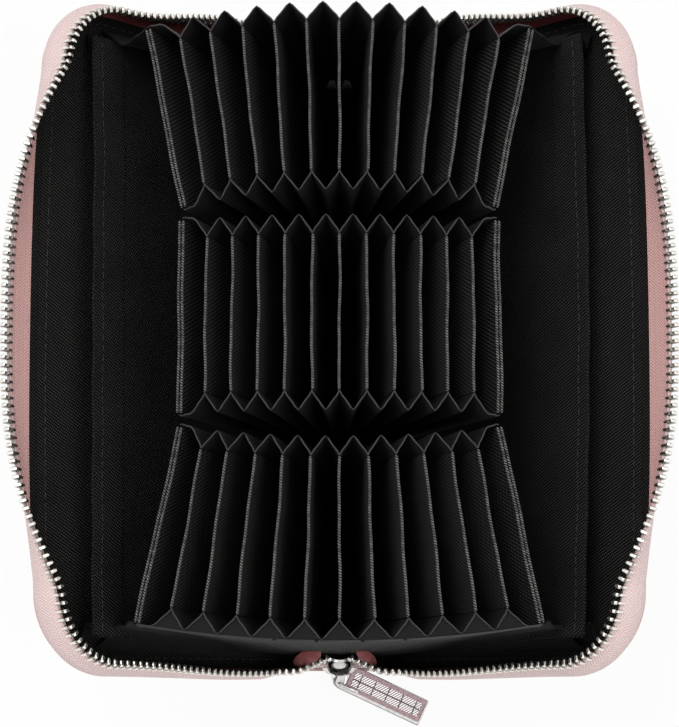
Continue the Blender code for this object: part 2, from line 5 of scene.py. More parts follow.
import bpy
import numpy as np
from bpy.props import FloatProperty, FloatVectorProperty, PointerProperty
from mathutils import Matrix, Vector


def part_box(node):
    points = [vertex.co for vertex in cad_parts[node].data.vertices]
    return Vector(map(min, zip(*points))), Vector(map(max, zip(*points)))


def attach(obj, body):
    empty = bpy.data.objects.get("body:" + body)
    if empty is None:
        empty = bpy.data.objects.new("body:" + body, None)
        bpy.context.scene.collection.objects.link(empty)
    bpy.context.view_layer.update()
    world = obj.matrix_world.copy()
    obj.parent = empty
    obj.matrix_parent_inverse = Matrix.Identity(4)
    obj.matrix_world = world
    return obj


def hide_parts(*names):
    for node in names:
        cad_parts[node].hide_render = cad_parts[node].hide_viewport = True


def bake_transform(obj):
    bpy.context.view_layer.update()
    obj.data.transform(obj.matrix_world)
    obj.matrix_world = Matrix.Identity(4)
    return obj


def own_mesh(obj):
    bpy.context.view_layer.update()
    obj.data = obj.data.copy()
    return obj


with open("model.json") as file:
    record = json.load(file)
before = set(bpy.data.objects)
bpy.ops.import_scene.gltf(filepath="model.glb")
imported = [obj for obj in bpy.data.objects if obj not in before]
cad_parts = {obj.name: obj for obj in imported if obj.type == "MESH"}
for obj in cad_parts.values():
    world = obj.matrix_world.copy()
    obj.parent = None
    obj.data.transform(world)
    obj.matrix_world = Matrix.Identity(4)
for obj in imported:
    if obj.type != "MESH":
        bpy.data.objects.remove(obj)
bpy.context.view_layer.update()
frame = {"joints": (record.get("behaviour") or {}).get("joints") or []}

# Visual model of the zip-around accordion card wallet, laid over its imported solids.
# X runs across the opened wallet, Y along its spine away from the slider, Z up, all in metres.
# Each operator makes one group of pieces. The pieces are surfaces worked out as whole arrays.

bl_info = {
    "name": "Accordion Card Wallet",
    "version": (1, 0, 0),
    "blender": (4, 5, 0),
    "location": "View3D > Sidebar > Wallet",
    "description": "Builds the leather, fabric, zip and metal pieces of an accordion card wallet",
    "category": "Object",
}

JOINTS = {joint["name"]: joint for joint in frame["joints"]}
SIDES = ((-1, "left"), (1, "right"))
ENDS = ((-1, "near"), (1, "far"))
ROW_NAMES = ("far", "middle", "near")
DIVIDERS = 6

FOLD_X = JOINTS["right_cover_hinge"]["pos_m"][0]
FOLD_Z = JOINTS["right_cover_hinge"]["pos_m"][2]
COVER_LEAN = math.radians(JOINTS["right_cover_hinge"]["range_deg"][1])
HALF_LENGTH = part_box("spine_cover")[1][1]
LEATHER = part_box("spine_cover")[1][2]
SPINE_TOP = LEATHER + 0.0003
FOLD_TANGENT = 0.0022
FOLD_BEND = math.pi / 2 - COVER_LEAN
FOLD_RADIUS = FOLD_TANGENT / math.tan(FOLD_BEND / 2)
COVER_WIDTH = 0.100
CORNER_RADIUS = 0.022
COVER_BOW = 0.0040
DIVIDER_HEIGHT = 0.084
ROW_LENGTH = 0.059
GUSSET_DEPTH = 0.0066
OUTER_CORNER_RISE = 0.0155
NOTE_PANEL_START = 0.012
NOTE_PANEL_HEIGHT = 0.074
NOTE_PANEL_HALF = 0.092
NOTE_PANEL_LEAN = math.radians(6.0)
NOTE_PANEL_FACE = LEATHER / 2 + 0.0006
LINING_FACE = LEATHER / 2 + 0.0009
LINING_DEPTH = LEATHER / 2 + 0.00016
LINING_MARGIN = 0.0008
TAPE_WIDTH = 0.0095
TAPE_ROOT = 0.0006
TAPE_LAYER = 0.0003
TAPE_LAYER_OFFSET = 0.00016
TOOTH_REACH = 0.0012
RIM_STEP = 0.0016
ZIP_START = 0.0165
CLOTH = {
    "lining": 0.0002,
    "panel": 0.0006,
    "hem": 0.0003,
    "pleat": 0.0005,
    "divider": 0.0007,
    "fold": 0.0004,
    "triangle": 0.0004,
    "wall": 0.0005,
    "strip": 0.0003,
    "tab": 0.0006,
}
CORD_RADIUS = {
    "panel": 0.00058,
    "divider": 0.00044,
    "outer_divider": 0.00040,
    "fold": 0.00023,
    "wall": 0.00028,
    "wall_side": 0.0004,
    "tape": 0.00062,
    "tape_end": 0.00058,
}
THREAD_RADIUS = {"rim": 0.00024, "lining": 0.00018, "panel": 0.00015}
DIVIDER_CORD_GAP = 0.00062
FOLD_TOP = DIVIDER_HEIGHT - 0.0005
WALL_FOOT_RISE = 0.0012
WALL_SIDE_START = 0.012
NEAR_SPINE_TURN = math.radians(94.0)
NEAR_END_TURN = math.radians(89.0)
FAR_SPINE_TURN = math.radians(52.0)
FAR_END_TURN = math.radians(58.0)
CORNER_TURN = math.radians(102.0)
SIDE_TURN = math.radians(12.0)
SIDE_TURN_POWER = 2.6
END_TURN_MIDDLE_SHARE = 0.36


# Arrays and meshes


def unit(vectors):
    """Vectors of length one along the last axis."""
    length = np.linalg.norm(vectors, axis=-1, keepdims=True)
    return vectors / np.maximum(length, 1e-12)


def ease(share):
    """A smooth step from 0 to 1: three times the square less twice the cube."""
    share = np.clip(share, 0.0, 1.0)
    return share * share * (3 - 2 * share)


def joined_grid(*parts):
    """A grid of points from X, Y and Z arrays that broadcast together."""
    return np.stack(np.broadcast_arrays(*parts), axis=-1).astype(float)


def lengths_along(grid, axis=0):
    """Running length over the grid or the path along one axis, in metres."""
    steps = np.linalg.norm(np.diff(grid, axis=axis), axis=-1)
    zero = np.zeros_like(np.take(steps, [0], axis=axis))
    return np.concatenate([zero, np.cumsum(steps, axis=axis)], axis=axis)


def grid_normals(grid):
    """Unit normals of a grid: its direction along the rows crossed with that along the columns."""
    return unit(np.cross(np.gradient(grid, axis=0), np.gradient(grid, axis=1)))


def faced(grid, flip):
    """The grid, with its columns in reverse where flip holds, so that its other side faces out."""
    return grid[:, ::-1] if flip else grid


def ring_faces(rings, sides, closed=False):
    """Faces between each ring of points and the next, and caps over both ends unless closed."""
    index = np.arange(rings * sides).reshape(rings, sides)
    caps = [] if closed else [index[0][::-1].tolist(), index[-1].tolist()]
    if closed:
        index = np.concatenate([index, index[:1]])
    turned = np.roll(index, -1, axis=1)
    quads = np.stack([index[:-1], turned[:-1], turned[1:], index[1:]], axis=-1)
    return quads.reshape(-1, 4), caps


class Surface:
    """Collects grids, tubes and repeated shapes into one mesh object with UVs in metres."""

    def __init__(self, name):
        self.name = name
        self.points = []
        self.uvs = []
        self.quads = []
        self.caps = []
        self.quad_slots = []
        self.cap_slots = []
        self.count = 0

    def add(self, points, uvs, quads, slot=0, caps=()):
        points = np.asarray(points, dtype=float).reshape(-1, 3)
        quads = np.asarray(quads, dtype=np.int64).reshape(-1, 4)
        self.points.append(points)
        self.uvs.append(np.asarray(uvs, dtype=float).reshape(-1, 2))
        self.quads.append(quads + self.count)
        self.quad_slots.append(np.full(len(quads), slot))
        for cap in caps:
            self.caps.append([int(index) + self.count for index in cap])
            self.cap_slots.append(slot)
        self.count += len(points)

    def sheet(self, grid, thickness, slot=0, uvs=None):
        """A closed sheet: the grid is moved half the thickness to each side along its normals."""
        rows, columns = grid.shape[:2]
        offset = grid_normals(grid) * np.broadcast_to(thickness, (rows, columns))[..., None] / 2
        if uvs is None:
            uvs = np.stack([lengths_along(grid, 1), lengths_along(grid, 0)], axis=-1)
        index = np.arange(rows * columns).reshape(rows, columns)
        other = index + rows * columns
        faces = (
            (index[:-1, :-1], index[1:, :-1], index[1:, 1:], index[:-1, 1:]),
            (other[:-1, :-1], other[:-1, 1:], other[1:, 1:], other[1:, :-1]),
            (index[0, :-1], index[0, 1:], other[0, 1:], other[0, :-1]),
            (index[-1, 1:], index[-1, :-1], other[-1, :-1], other[-1, 1:]),
            (index[1:, 0], index[:-1, 0], other[:-1, 0], other[1:, 0]),
            (index[:-1, -1], index[1:, -1], other[1:, -1], other[:-1, -1]),
        )
        quads = np.concatenate([np.stack(corners, axis=-1).reshape(-1, 4) for corners in faces])
        self.add([grid + offset, grid - offset], [uvs, uvs], quads, slot)

    def tube(self, path, across, radius, sides=8, slot=0, closed=False, flat=1.0, taper=1.0):
        """A round bar: at each point of the path, a ring of radius lies across the path's direction.

        The ring's first axis is the given across direction, and flat squeezes its second axis.
        Taper is the share of the radius that both ends keep.
        """
        if closed:
            along = unit(np.roll(path, -1, axis=0) - np.roll(path, 1, axis=0))
        else:
            along = unit(np.gradient(path, axis=0))
        first = unit(across - along * np.sum(across * along, axis=1, keepdims=True))
        second = np.cross(along, first)
        angles = np.linspace(0, 2 * math.pi, sides, endpoint=False)
        size = np.full(len(path), radius)
        size[[0, -1]] *= taper
        ring = first[:, None] * np.cos(angles)[:, None]
        ring = ring + second[:, None] * (flat * np.sin(angles))[:, None]
        points = path[:, None] + ring * size[:, None, None]
        uvs = joined_grid(lengths_along(path)[:, None], angles * float(np.mean(size)))
        quads, caps = ring_faces(len(path), sides, closed)
        self.add(points, uvs, quads, slot, caps)

    def copies(self, shape, places, turns, slot=0):
        """Copies of one shape: each is turned by a 3 by 3 matrix, then moved to its place."""
        points, quads, caps = shape
        places = np.asarray(places, dtype=float)
        moved = np.einsum("nij,mj->nmi", turns, points) + places[:, None]
        number = len(places)
        size = len(points)
        starts = (np.arange(number) * size)[:, None, None]
        uvs = np.broadcast_to(points[None, :, :2], (number, size, 2))
        all_caps = [[index + step * size for index in cap] for step in range(number) for cap in caps]
        self.add(moved, uvs, (quads[None] + starts).reshape(-1, 4), slot, caps=all_caps)

    def finish(self, materials, body=None, sharp=35.0):
        """The mesh object with its materials, riding on its body."""
        points = np.concatenate(self.points)
        uvs = np.concatenate(self.uvs)
        quads = np.concatenate(self.quads)
        faces = quads.tolist() + self.caps
        mesh = bpy.data.meshes.new(self.name)
        mesh.from_pydata(points.tolist(), [], faces)
        slots = np.concatenate(self.quad_slots + [np.asarray(self.cap_slots, dtype=float)]).astype(np.int32)
        mesh.polygons.foreach_set("material_index", slots)
        corners = np.empty(len(mesh.loops), dtype=np.int32)
        mesh.loops.foreach_get("vertex_index", corners)
        layer = mesh.uv_layers.new(name="Surface")
        layer.data.foreach_set("uv", uvs[corners].astype(np.float32).ravel())
        mesh.validate()
        mesh.shade_smooth()
        mesh.set_sharp_from_angle(angle=math.radians(sharp))
        for name in materials:
            mesh.materials.append(look(name))
        piece = bpy.data.objects.new(self.name, mesh)
        bpy.context.scene.collection.objects.link(piece)
        if body:
            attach(piece, body)
        return piece


def lofted(stations, sides, power, lift=0.0):
    """A closed bar along X whose section at each station is a superellipse.

    Each station gives the place along X, half the width in Y and half the height in Z. Lift is the
    height of the stations' middles.
    """
    place, wide, high = np.asarray(stations, dtype=float).T[..., None]
    angles = np.linspace(0, 2 * math.pi, sides, endpoint=False) + math.pi / sides
    y, z = (np.sign(part) * np.abs(part) ** (2 / power) for part in (np.cos(angles), np.sin(angles)))
    points = joined_grid(place, wide * y, np.reshape(lift, (-1, 1)) + high * z)
    return points.reshape(-1, 3), *ring_faces(len(stations), sides)


def even_places(path, pitch):
    """Shares of index at which points lie along the path at an even pitch."""
    length = lengths_along(path)
    number = max(int(length[-1] / pitch), 1)
    spots = (length[-1] - number * pitch) / 2 + pitch * (np.arange(number) + 0.5)
    return np.interp(spots, length, np.arange(len(path)))


def sampled(values, spots):
    """Rows of an array at fractional indices, with straight lines between its rows."""
    low = np.clip(np.floor(spots).astype(int), 0, len(values) - 2)
    share = (spots - low)[:, None]
    return values[low] * (1 - share) + values[low + 1] * share


def frames_of(first, second):
    """Rotation matrices whose columns are the first direction, the second made square, and their cross."""
    x = unit(first)
    y = unit(second - x * np.sum(second * x, axis=1, keepdims=True))
    return np.stack([x, y, np.cross(x, y)], axis=-1)


def stitch_shape(length, radius):
    """One stitch of thread: a bar that dips into the cloth at both ends."""
    half = length / 2
    end, middle = (radius * 0.5, radius * 0.5), (radius, radius * 0.8)
    stations = [(-half, *end), (-half * 0.78, *middle), (half * 0.78, *middle), (half, *end)]
    dip = -radius * 1.4
    return lofted(stations, 6, 2.0, (dip, 0, 0, dip))


def stitched(surface, path, normal, radius, slot=0):
    """A row of stitches lying along a path on a surface with this normal."""
    sizes = bpy.context.scene.wallet_sizes
    spots = even_places(path, sizes.stitch_pitch)
    along = sampled(np.gradient(path, axis=0), spots)
    turns = frames_of(along, np.cross(normal, along))
    surface.copies(stitch_shape(sizes.stitch_length, radius), sampled(path, spots), turns, slot)


# Wallet geometry


def half_length_at(up, margin=0.0):
    """Half the cover's length at a height above its fold: a quarter circle rounds the free corners.

    The margin makes the circle smaller.
    """
    over = np.maximum(up - (COVER_WIDTH - CORNER_RADIUS), 0.0)
    within = np.sqrt(np.maximum((CORNER_RADIUS - margin) ** 2 - over**2, 0.0))
    return HALF_LENGTH - CORNER_RADIUS + within


def cover_bow(up, y):
    """Outward swell of a cover: most at the middle of its free edge, with a slight twist end to end."""
    sizes = bpy.context.scene.wallet_sizes
    swell = COVER_BOW * (up / COVER_WIDTH) ** 2 * (1 - (y / HALF_LENGTH) ** 2)
    return swell + sizes.cover_twist * (up / COVER_WIDTH) * (y / HALF_LENGTH)


def cover_point(side, out, y, up):
    """World points from a cover's own measures: outwards, along the spine and up from the fold."""
    out = out + cover_bow(up, y)
    x = side * (FOLD_X + out * math.cos(COVER_LEAN) + up * math.sin(COVER_LEAN))
    z = FOLD_Z - out * math.sin(COVER_LEAN) + up * math.cos(COVER_LEAN)
    return joined_grid(x, y, z)


def cover_way(side, out, y, up):
    """World directions from a cover's own directions."""
    x = side * (out * math.cos(COVER_LEAN) + up * math.sin(COVER_LEAN))
    z = -out * math.sin(COVER_LEAN) + up * math.cos(COVER_LEAN)
    return joined_grid(x, y, z)


class Row:
    """One row of card dividers, with the fold line and fan that the joints give."""

    def __init__(self, name):
        joint = JOINTS[f"{name}_right_1_fold"]
        self.name = name
        self.direction = {"far": 1, "middle": 0, "near": -1}[name]
        self.pitch, self.inner_y, self.foot_z = joint["pos_m"]
        self.axis_y, self.axis_z = -joint["axis"][1], -joint["axis"][2]
        self.step = math.radians(joint["range_deg"][1])
        self.half_divider = ROW_LENGTH / 2 - GUSSET_DEPTH
        self.middle = self.inner_y + self.direction * self.half_divider

    def lift(self, y):
        """Height of a divider's lower edge: it rises towards the wallet's end in the outer rows."""
        share = (y - self.inner_y) * self.direction / (2 * self.half_divider)
        return np.maximum(OUTER_CORNER_RISE * share, 0.0)

    def point(self, share, y, height, across=0.0):
        """World point of the fan. The flat row's point is turned about its sloping fold line.

        Share counts dividers from the middle one, and across is measured square to the divider.
        """
        turn = self.step * np.asarray(share, dtype=float)
        dy = np.asarray(y, dtype=float) - self.inner_y
        height = np.asarray(height, dtype=float)
        cosine = np.cos(turn)
        sine = np.sin(turn)
        dot = self.axis_y * dy + self.axis_z * height
        x = (self.axis_y * height - self.axis_z * dy) * sine + across * cosine
        new_y = dy * cosine + self.axis_y * dot * (1 - cosine) + self.axis_z * across * sine
        z = height * cosine + self.axis_z * dot * (1 - cosine) - self.axis_y * across * sine
        return joined_grid(x + share * self.pitch, new_y + self.inner_y, z + self.foot_z)

    def across_way(self, share):
        """World direction square to the divider at this share."""
        turn = self.step * share
        return np.array([math.cos(turn), self.axis_z * math.sin(turn), -self.axis_y * math.sin(turn)])

    def body(self, number):
        """Body of a divider, numbered from -6 on the left to 6 on the right; 0 stands on the spine."""
        if not number:
            return "spine"
        return f"{self.name}_{'right' if number > 0 else 'left'}_{abs(number)}"


def tape_turn(up, y):
    """How far the zip tape turns inwards from the cover's plane round the rim."""
    corner_up = COVER_WIDTH - CORNER_RADIUS
    straight = HALF_LENGTH - CORNER_RADIUS
    share = (np.abs(y) / straight) ** SIDE_TURN_POWER
    side = SIDE_TURN + (CORNER_TURN - SIDE_TURN) * np.minimum(share, 1.0)
    spine = np.where(y < 0, NEAR_SPINE_TURN, FAR_SPINE_TURN)
    end = np.where(y < 0, NEAR_END_TURN, FAR_END_TURN)
    middle = corner_up * END_TURN_MIDDLE_SHARE
    low = spine + (end - spine) * ease(up / middle)
    high = end + (CORNER_TURN - end) * ease((up - middle) / (corner_up - middle))
    return np.where(np.abs(y) < straight, side, np.where(up < middle, low, high))


def rim_path(start_up, step=RIM_STEP):
    """The cover's outline from the near end round to the far end, in the cover's own measures.

    It gives arrays of height, place along the spine, and the outline's outward direction.
    """
    corner_up = COVER_WIDTH - CORNER_RADIUS
    straight = HALF_LENGTH - CORNER_RADIUS
    end_steps = max(int((corner_up - start_up) / step), 2)
    arc_steps = int(CORNER_RADIUS * math.pi / 2 / step)
    side_steps = int(2 * straight / step)
    up_end = np.linspace(start_up, corner_up, end_steps, endpoint=False)
    angle = np.linspace(0, math.pi / 2, arc_steps, endpoint=False)
    up_arc = corner_up + CORNER_RADIUS * np.sin(angle)
    y_arc = straight + CORNER_RADIUS * np.cos(angle)
    y_side = np.linspace(-straight, straight, side_steps + 1)
    zero = np.zeros_like
    one = np.ones_like
    up = np.concatenate([up_end, up_arc, one(y_side) * COVER_WIDTH, up_arc[::-1], up_end[::-1]])
    y = np.concatenate([-HALF_LENGTH * one(up_end), -y_arc, y_side, y_arc[::-1], HALF_LENGTH * one(up_end)])
    out_up = np.concatenate([zero(up_end), np.sin(angle), one(y_side), np.sin(angle)[::-1], zero(up_end)])
    out_y = np.concatenate([-one(up_end), -np.cos(angle), zero(y_side), np.cos(angle)[::-1], one(up_end)])
    return up, y, out_up, out_y


def smoothed(values, width):
    """Running mean over the given number of neighbours, with the ends held."""
    pad = width // 2
    kernel = np.ones(2 * pad + 1) / (2 * pad + 1)
    return np.convolve(np.pad(values, pad, mode="edge"), kernel, mode="valid")


def rim_stations(side, step=RIM_STEP):
    """Places round the rim, the outline's outward way there and the way to the tape's free edge."""
    up, y, out_up, out_y = rim_path(ZIP_START, step)
    turn = smoothed(tape_turn(up, y), 7)
    outward = cover_way(side, 0.0, out_y, out_up)
    inward = cover_way(side, -1.0, 0 * y, 0 * up)
    way = outward * np.cos(turn)[:, None] + inward * np.sin(turn)[:, None]
    edge = cover_point(side, 0.0, y, up) + outward * TAPE_ROOT
    return edge, outward, inward, way, turn


# Shader building


class Wire:
    """A shader value that can be added, multiplied and so on as in plain arithmetic."""

    def __init__(self, graph, socket):
        self.graph = graph
        self.socket = socket

    def calc(self, operation, *others):
        return self.graph.math(operation, self, *others)

    def __add__(self, other):
        return self.calc("ADD", other)

    def __sub__(self, other):
        return self.calc("SUBTRACT", other)

    def __rsub__(self, other):
        return self.graph.math("SUBTRACT", other, self)

    def __mul__(self, other):
        return self.calc("MULTIPLY", other)

    def __truediv__(self, other):
        return self.calc("DIVIDE", other)

    def __abs__(self):
        return self.calc("ABSOLUTE")

    def ramp(self, low, high, new_low=0.0, new_high=1.0):
        """Straight-line change from the range low to high into the new range, clamped."""
        ends = {"From Min": low, "From Max": high, "To Min": new_low, "To Max": new_high}
        return self.graph.wire(self.graph.node("MapRange", {"Value": self, **ends}))


class Graph:
    """Short calls for making and linking shader nodes in one tree."""

    def __init__(self, tree):
        self.tree = tree

    def node(self, kind, inputs=None, **settings):
        made = self.tree.nodes.new("ShaderNode" + kind)
        for name, value in settings.items():
            setattr(made, name, value)
        for name, value in (inputs or {}).items():
            self.feed(made.inputs[name], value)
        return made

    def wire(self, node, output=0):
        return Wire(self, node.outputs[output])

    def feed(self, socket, value):
        if isinstance(value, Wire):
            self.tree.links.new(value.socket, socket)
        else:
            socket.default_value = value

    def math(self, operation, *values):
        return self.wire(self.node("Math", dict(enumerate(values)), operation=operation))

    def mix(self, factor, first, second, blend="MIX"):
        ends = {0: factor, 6: first, 7: second}
        return self.wire(self.node("Mix", ends, data_type="RGBA", blend_type=blend), 2)

    def noise(self, vector, scale, detail=2.0):
        return self.wire(self.node("TexNoise", {"Vector": vector, "Scale": scale, "Detail": detail}))

    def bump(self, height, depth):
        """A bump of this real depth in metres."""
        return self.wire(self.node("Bump", {"Height": height, "Distance": depth, "Strength": 1.0}))

    def parts(self, vector):
        made = self.node("SeparateXYZ", {"Vector": vector})
        return self.wire(made, 0), self.wire(made, 1)

    def uv(self):
        """The piece's own UV map, in metres."""
        return self.wire(self.node("UVMap", uv_map="Surface"))

    def place(self):
        return self.wire(self.node("TexCoord"), "Object")

    def group(self, tree, vector, **numbers):
        """A node of the group's tree, as its outputs by name."""
        inputs = {title(name): value for name, value in numbers.items()}
        made = self.node("Group", {"Vector": vector, **inputs}, node_tree=tree)
        return {output.name: Wire(self, output) for output in made.outputs}


def title(name):
    """A socket's label from an argument's name."""
    return name.replace("_", " ").title()


def node_group(name, outputs, **numbers):
    """Decorator: a node group made once, whose builder gives one value for each of its outputs."""

    def wrap(build):
        def found():
            tree = bpy.data.node_groups.get(name)
            if tree is None:
                tree = bpy.data.node_groups.new(name, "ShaderNodeTree")
                sockets = tree.interface.new_socket
                sockets(name="Vector", in_out="INPUT", socket_type="NodeSocketVector")
                for label, value in numbers.items():
                    socket = sockets(name=title(label), in_out="INPUT", socket_type="NodeSocketFloat")
                    socket.default_value = value
                for label in outputs:
                    sockets(name=label, in_out="OUTPUT", socket_type="NodeSocketFloat")
                graph = Graph(tree)
                given = tree.nodes.new("NodeGroupInput").outputs
                out = tree.nodes.new("NodeGroupOutput").inputs
                wires = [Wire(graph, given[label]) for label in ("Vector", *map(title, numbers))]
                for label, value in zip(outputs, build(graph, *wires)):
                    graph.feed(out[label], value)
            return tree

        return found

    return wrap


def diagonal(x, y, angle):
    """Distance along a direction turned by the angle from X."""
    return x * x.graph.math("COSINE", angle) + y * x.graph.math("SINE", angle)


def wave(distance, period):
    """A sine wave of this period, from 0 to 1."""
    return (distance / period * (2 * math.pi)).calc("SINE") * 0.5 + 0.5


@node_group("Twill Weave", ("Height", "Light"), period=0.0008, angle=0.6, float_length=0.0006, unevenness=0.2)
def twill(graph, vector, period, angle, float_length, unevenness):
    """Twill weave: ridges at an angle, broken into short floats, with uneven yarns. Its Light output is a
    painted highlight on the ridges.
    """
    x, y = graph.parts(vector)
    shift = (graph.noise(vector, 900.0) - 0.5) * unevenness
    ridge = wave(shift * period + diagonal(x, y, angle + math.pi / 2), period)
    floats = wave(diagonal(x, y, angle), float_length)
    # Painted highlight along the weave's ridges, broken by the floats.
    lit = (ridge * (floats * 0.55 + 0.45)).ramp(0.60, 0.95)
    patches = graph.noise(vector, 90.0, 3.0).ramp(0.3, 0.75, 0.6, 1.0)
    return ridge * (floats * 0.35 + 0.65), lit * patches


@node_group("Ribbed Weave", ("Height", "Light"), period=0.00065, weft=0.0005)
def ribs(graph, vector, period, weft):
    """Ribbed weave: round ribs side by side, crossed by fine weft that every other rib shifts. Its Light
    output is a painted highlight on the rib crests.
    """
    x, y = graph.parts(vector)
    odd = (x / period).calc("PINGPONG", 1.0).calc("ROUND")
    threads = wave(y + weft * 0.5 * odd, weft)
    height = wave(x, period) * (threads * 0.4 + 0.6)
    patches = graph.noise(vector, 130.0).ramp(0.3, 0.7, 0.5, 1.0)
    # Painted highlight on the rib crests, in uneven patches.
    return height, height.ramp(0.45, 0.95) * patches


@node_group("Herringbone Weave", ("Height", "Groove"), stripe=0.0019, period=0.00085)
def herringbone(graph, vector, stripe, period):
    """Herringbone tape weave: slanting yarns whose slant turns over from stripe to stripe."""
    x, y = graph.parts(vector)
    fold = y.calc("PINGPONG", stripe)
    slanted = (graph.noise(vector, 700.0) - 0.5) * 0.0002 + (fold * 0.9 + x)
    share = fold / stripe
    near_edge = share.ramp(0.0, 0.12).calc("MINIMUM", share.ramp(1.0, 0.88))
    height = wave(slanted, period) * (near_edge * 0.6 + 0.4)
    return height, 1.0 - height.ramp(0.05, 0.6)


@node_group("Twisted Thread", ("Height", "Light"), period=0.0007, slant=0.8)
def rope(graph, vector, period, slant):
    """Twisted thread: slanting strands that run round a cord. Its Light output is a painted highlight on the
    strands.
    """
    x, y = graph.parts(vector)
    strand = wave(y * slant + x, period)
    # The strand wave also serves as the painted highlight on the strands, in uneven patches.
    return strand, strand * graph.noise(vector, 400.0).ramp(0.3, 0.7, 0.55, 1.0)


@node_group("Leather Grain", ("Height", "Crease", "Tone"), scale=900.0)
def grain(graph, vector, scale):
    """Pebbled leather grain: rounded cells between fine creases, of two sizes."""
    warp = graph.wire(graph.node("TexNoise", {"Vector": vector, "Scale": 300.0, "Detail": 2.0}), 1)
    bent = graph.wire(graph.node("VectorMath", {0: warp, 1: (0.0012, 0.0012, 0.0012)}, operation="MULTIPLY"))
    moved = graph.wire(graph.node("VectorMath", {0: vector, 1: bent}, operation="ADD"))
    cells = graph.node("TexVoronoi", {"Vector": moved, "Scale": scale}, feature="DISTANCE_TO_EDGE")
    pebble = graph.wire(cells, "Distance").ramp(0.0, 0.35)
    return pebble.calc("POWER", 0.6), 1.0 - pebble.ramp(0.0, 0.5), graph.noise(vector, 35.0, 4.0)


@node_group("Lint", ("Mask",), amount=0.5)
def lint(graph, vector, amount):
    """Fine dust and lint caught in cloth: a few soft pale specks."""
    cells = graph.node("TexVoronoi", {"Vector": vector, "Scale": 420.0})
    specks = graph.wire(cells, "Distance").ramp(0.10, 0.04)
    return (specks * graph.noise(vector, 60.0).ramp(0.55, 0.7) * amount,)


def rgba(values, *factors):
    """A colour as a socket value, each channel multiplied by its factor if factors are given."""
    return (*(value * factor for value, factor in zip(values, factors or (1, 1, 1))), 1.0)


def cloth(weave, low, high, depth, numbers, graph, colours):
    """Woven cloth: height follows the weave, and the colour goes from the groove colour to a painted
    highlight on the ridges, with lint in it.
    """
    uv = graph.uv()
    woven = graph.group(weave(), uv, **numbers)
    tone = graph.mix(woven["Light"], rgba(getattr(colours, low)), rgba(getattr(colours, high)))
    dust = graph.group(lint(), uv, amount=0.35)["Mask"]
    return {
        "Base Color": graph.mix(dust, tone, (0.09, 0.085, 0.08, 1.0)),
        "Roughness": woven["Height"].ramp(0, 1, 0.85, 0.63),
        "Normal": graph.bump(woven["Height"], depth),
        "Sheen Weight": 0.02,
        "Sheen Roughness": 0.45,
        "Specular IOR Level": 0.12,
    }


def thread(twist, strand, dark, light, roughness, depth, graph, colours):
    """Twisted thread: painted shade between its strands, painted highlight where they round up."""
    turned = graph.group(rope(), graph.uv(), period=twist[0], slant=twist[1])
    light = getattr(colours, light) if isinstance(light, str) else light
    return {
        "Base Color": graph.mix(turned["Light"].ramp(*strand), rgba(dark), rgba(light)),
        "Roughness": roughness,
        "Normal": graph.bump(turned["Height"], depth),
    }


def leather(graph, colours):
    """Pebbled leather, darker in its creases and in broad soft patches."""
    marks = graph.group(grain(), graph.place(), scale=850.0)
    base, darker = rgba(colours.leather), rgba(colours.leather, 0.80, 0.72, 0.72)
    tone = graph.mix(marks["Tone"].ramp(0.3, 0.7, 0.0, 0.22), base, darker)
    return {
        "Base Color": graph.mix(marks["Crease"] * 0.35, tone, darker),
        "Roughness": marks["Height"].ramp(0, 1, 0.62, 0.42),
        "Normal": graph.bump(marks["Height"], 0.00012),
        "Specular IOR Level": 0.45,
    }


def tape(name, groove, graph, colours):
    """Zip tape of herringbone weave, with dark grooves and soft broad patches."""
    uv = graph.uv()
    base, dark = rgba(getattr(colours, name)), rgba(getattr(colours, name), *groove)
    tone = graph.mix(graph.noise(uv, 60.0, 3.0).ramp(0.3, 0.7, 0.0, 0.12), base, dark)
    return {**woven_tape(graph, uv, tone, dark), "Sheen Weight": 0.2}


def inner_tape(graph, colours):
    """Inner face of the zip tape: a deeper pink than the outer face as painted shade, and wine red painted
    shade at the wallet's ends.
    """
    y = graph.parts(graph.place())[1]
    # Painted shade: the inner face turns wine red towards both ends of the wallet.
    end_shade_mask = y.ramp(0.078, 0.096).calc("MAXIMUM", y.ramp(-0.085, -0.099))
    base = graph.mix(end_shade_mask, rgba(colours.tape_inner), rgba(colours.tape_red))
    dark = graph.mix(1.0, base, (0.62, 0.5, 0.5, 1.0), "MULTIPLY")
    return woven_tape(graph, graph.uv(), base, dark)


def woven_tape(graph, uv, tone, dark):
    """Herringbone over a tone, with dark grooves."""
    weave = graph.group(herringbone(), uv, stripe=0.0019, period=0.00095)
    return {
        "Base Color": graph.mix(weave["Groove"] * 0.7, tone, dark),
        "Roughness": 0.8,
        "Normal": graph.bump(weave["Height"], 0.00018),
    }


def metal(tone, roughness, scratch, graph, colours):
    """Plated metal: fine scratches and a slightly uneven polish."""
    place = graph.place()
    stretched = graph.wire(graph.node("Mapping", {"Vector": place, "Scale": (300.0, 4000.0, 2500.0)}))
    fine = graph.noise(stretched, 1.0, 3.0)
    dull = graph.noise(place, 500.0, 3.0).ramp(0.35, 0.75, 0.0, 0.45)
    return {
        "Base Color": graph.mix(dull, rgba(tone), rgba(tone, 0.72, 0.70, 0.68)),
        "Roughness": fine.ramp(0.3, 0.7, roughness, roughness + 0.14),
        "Normal": graph.bump(fine, scratch),
        "Metallic": 1.0,
    }


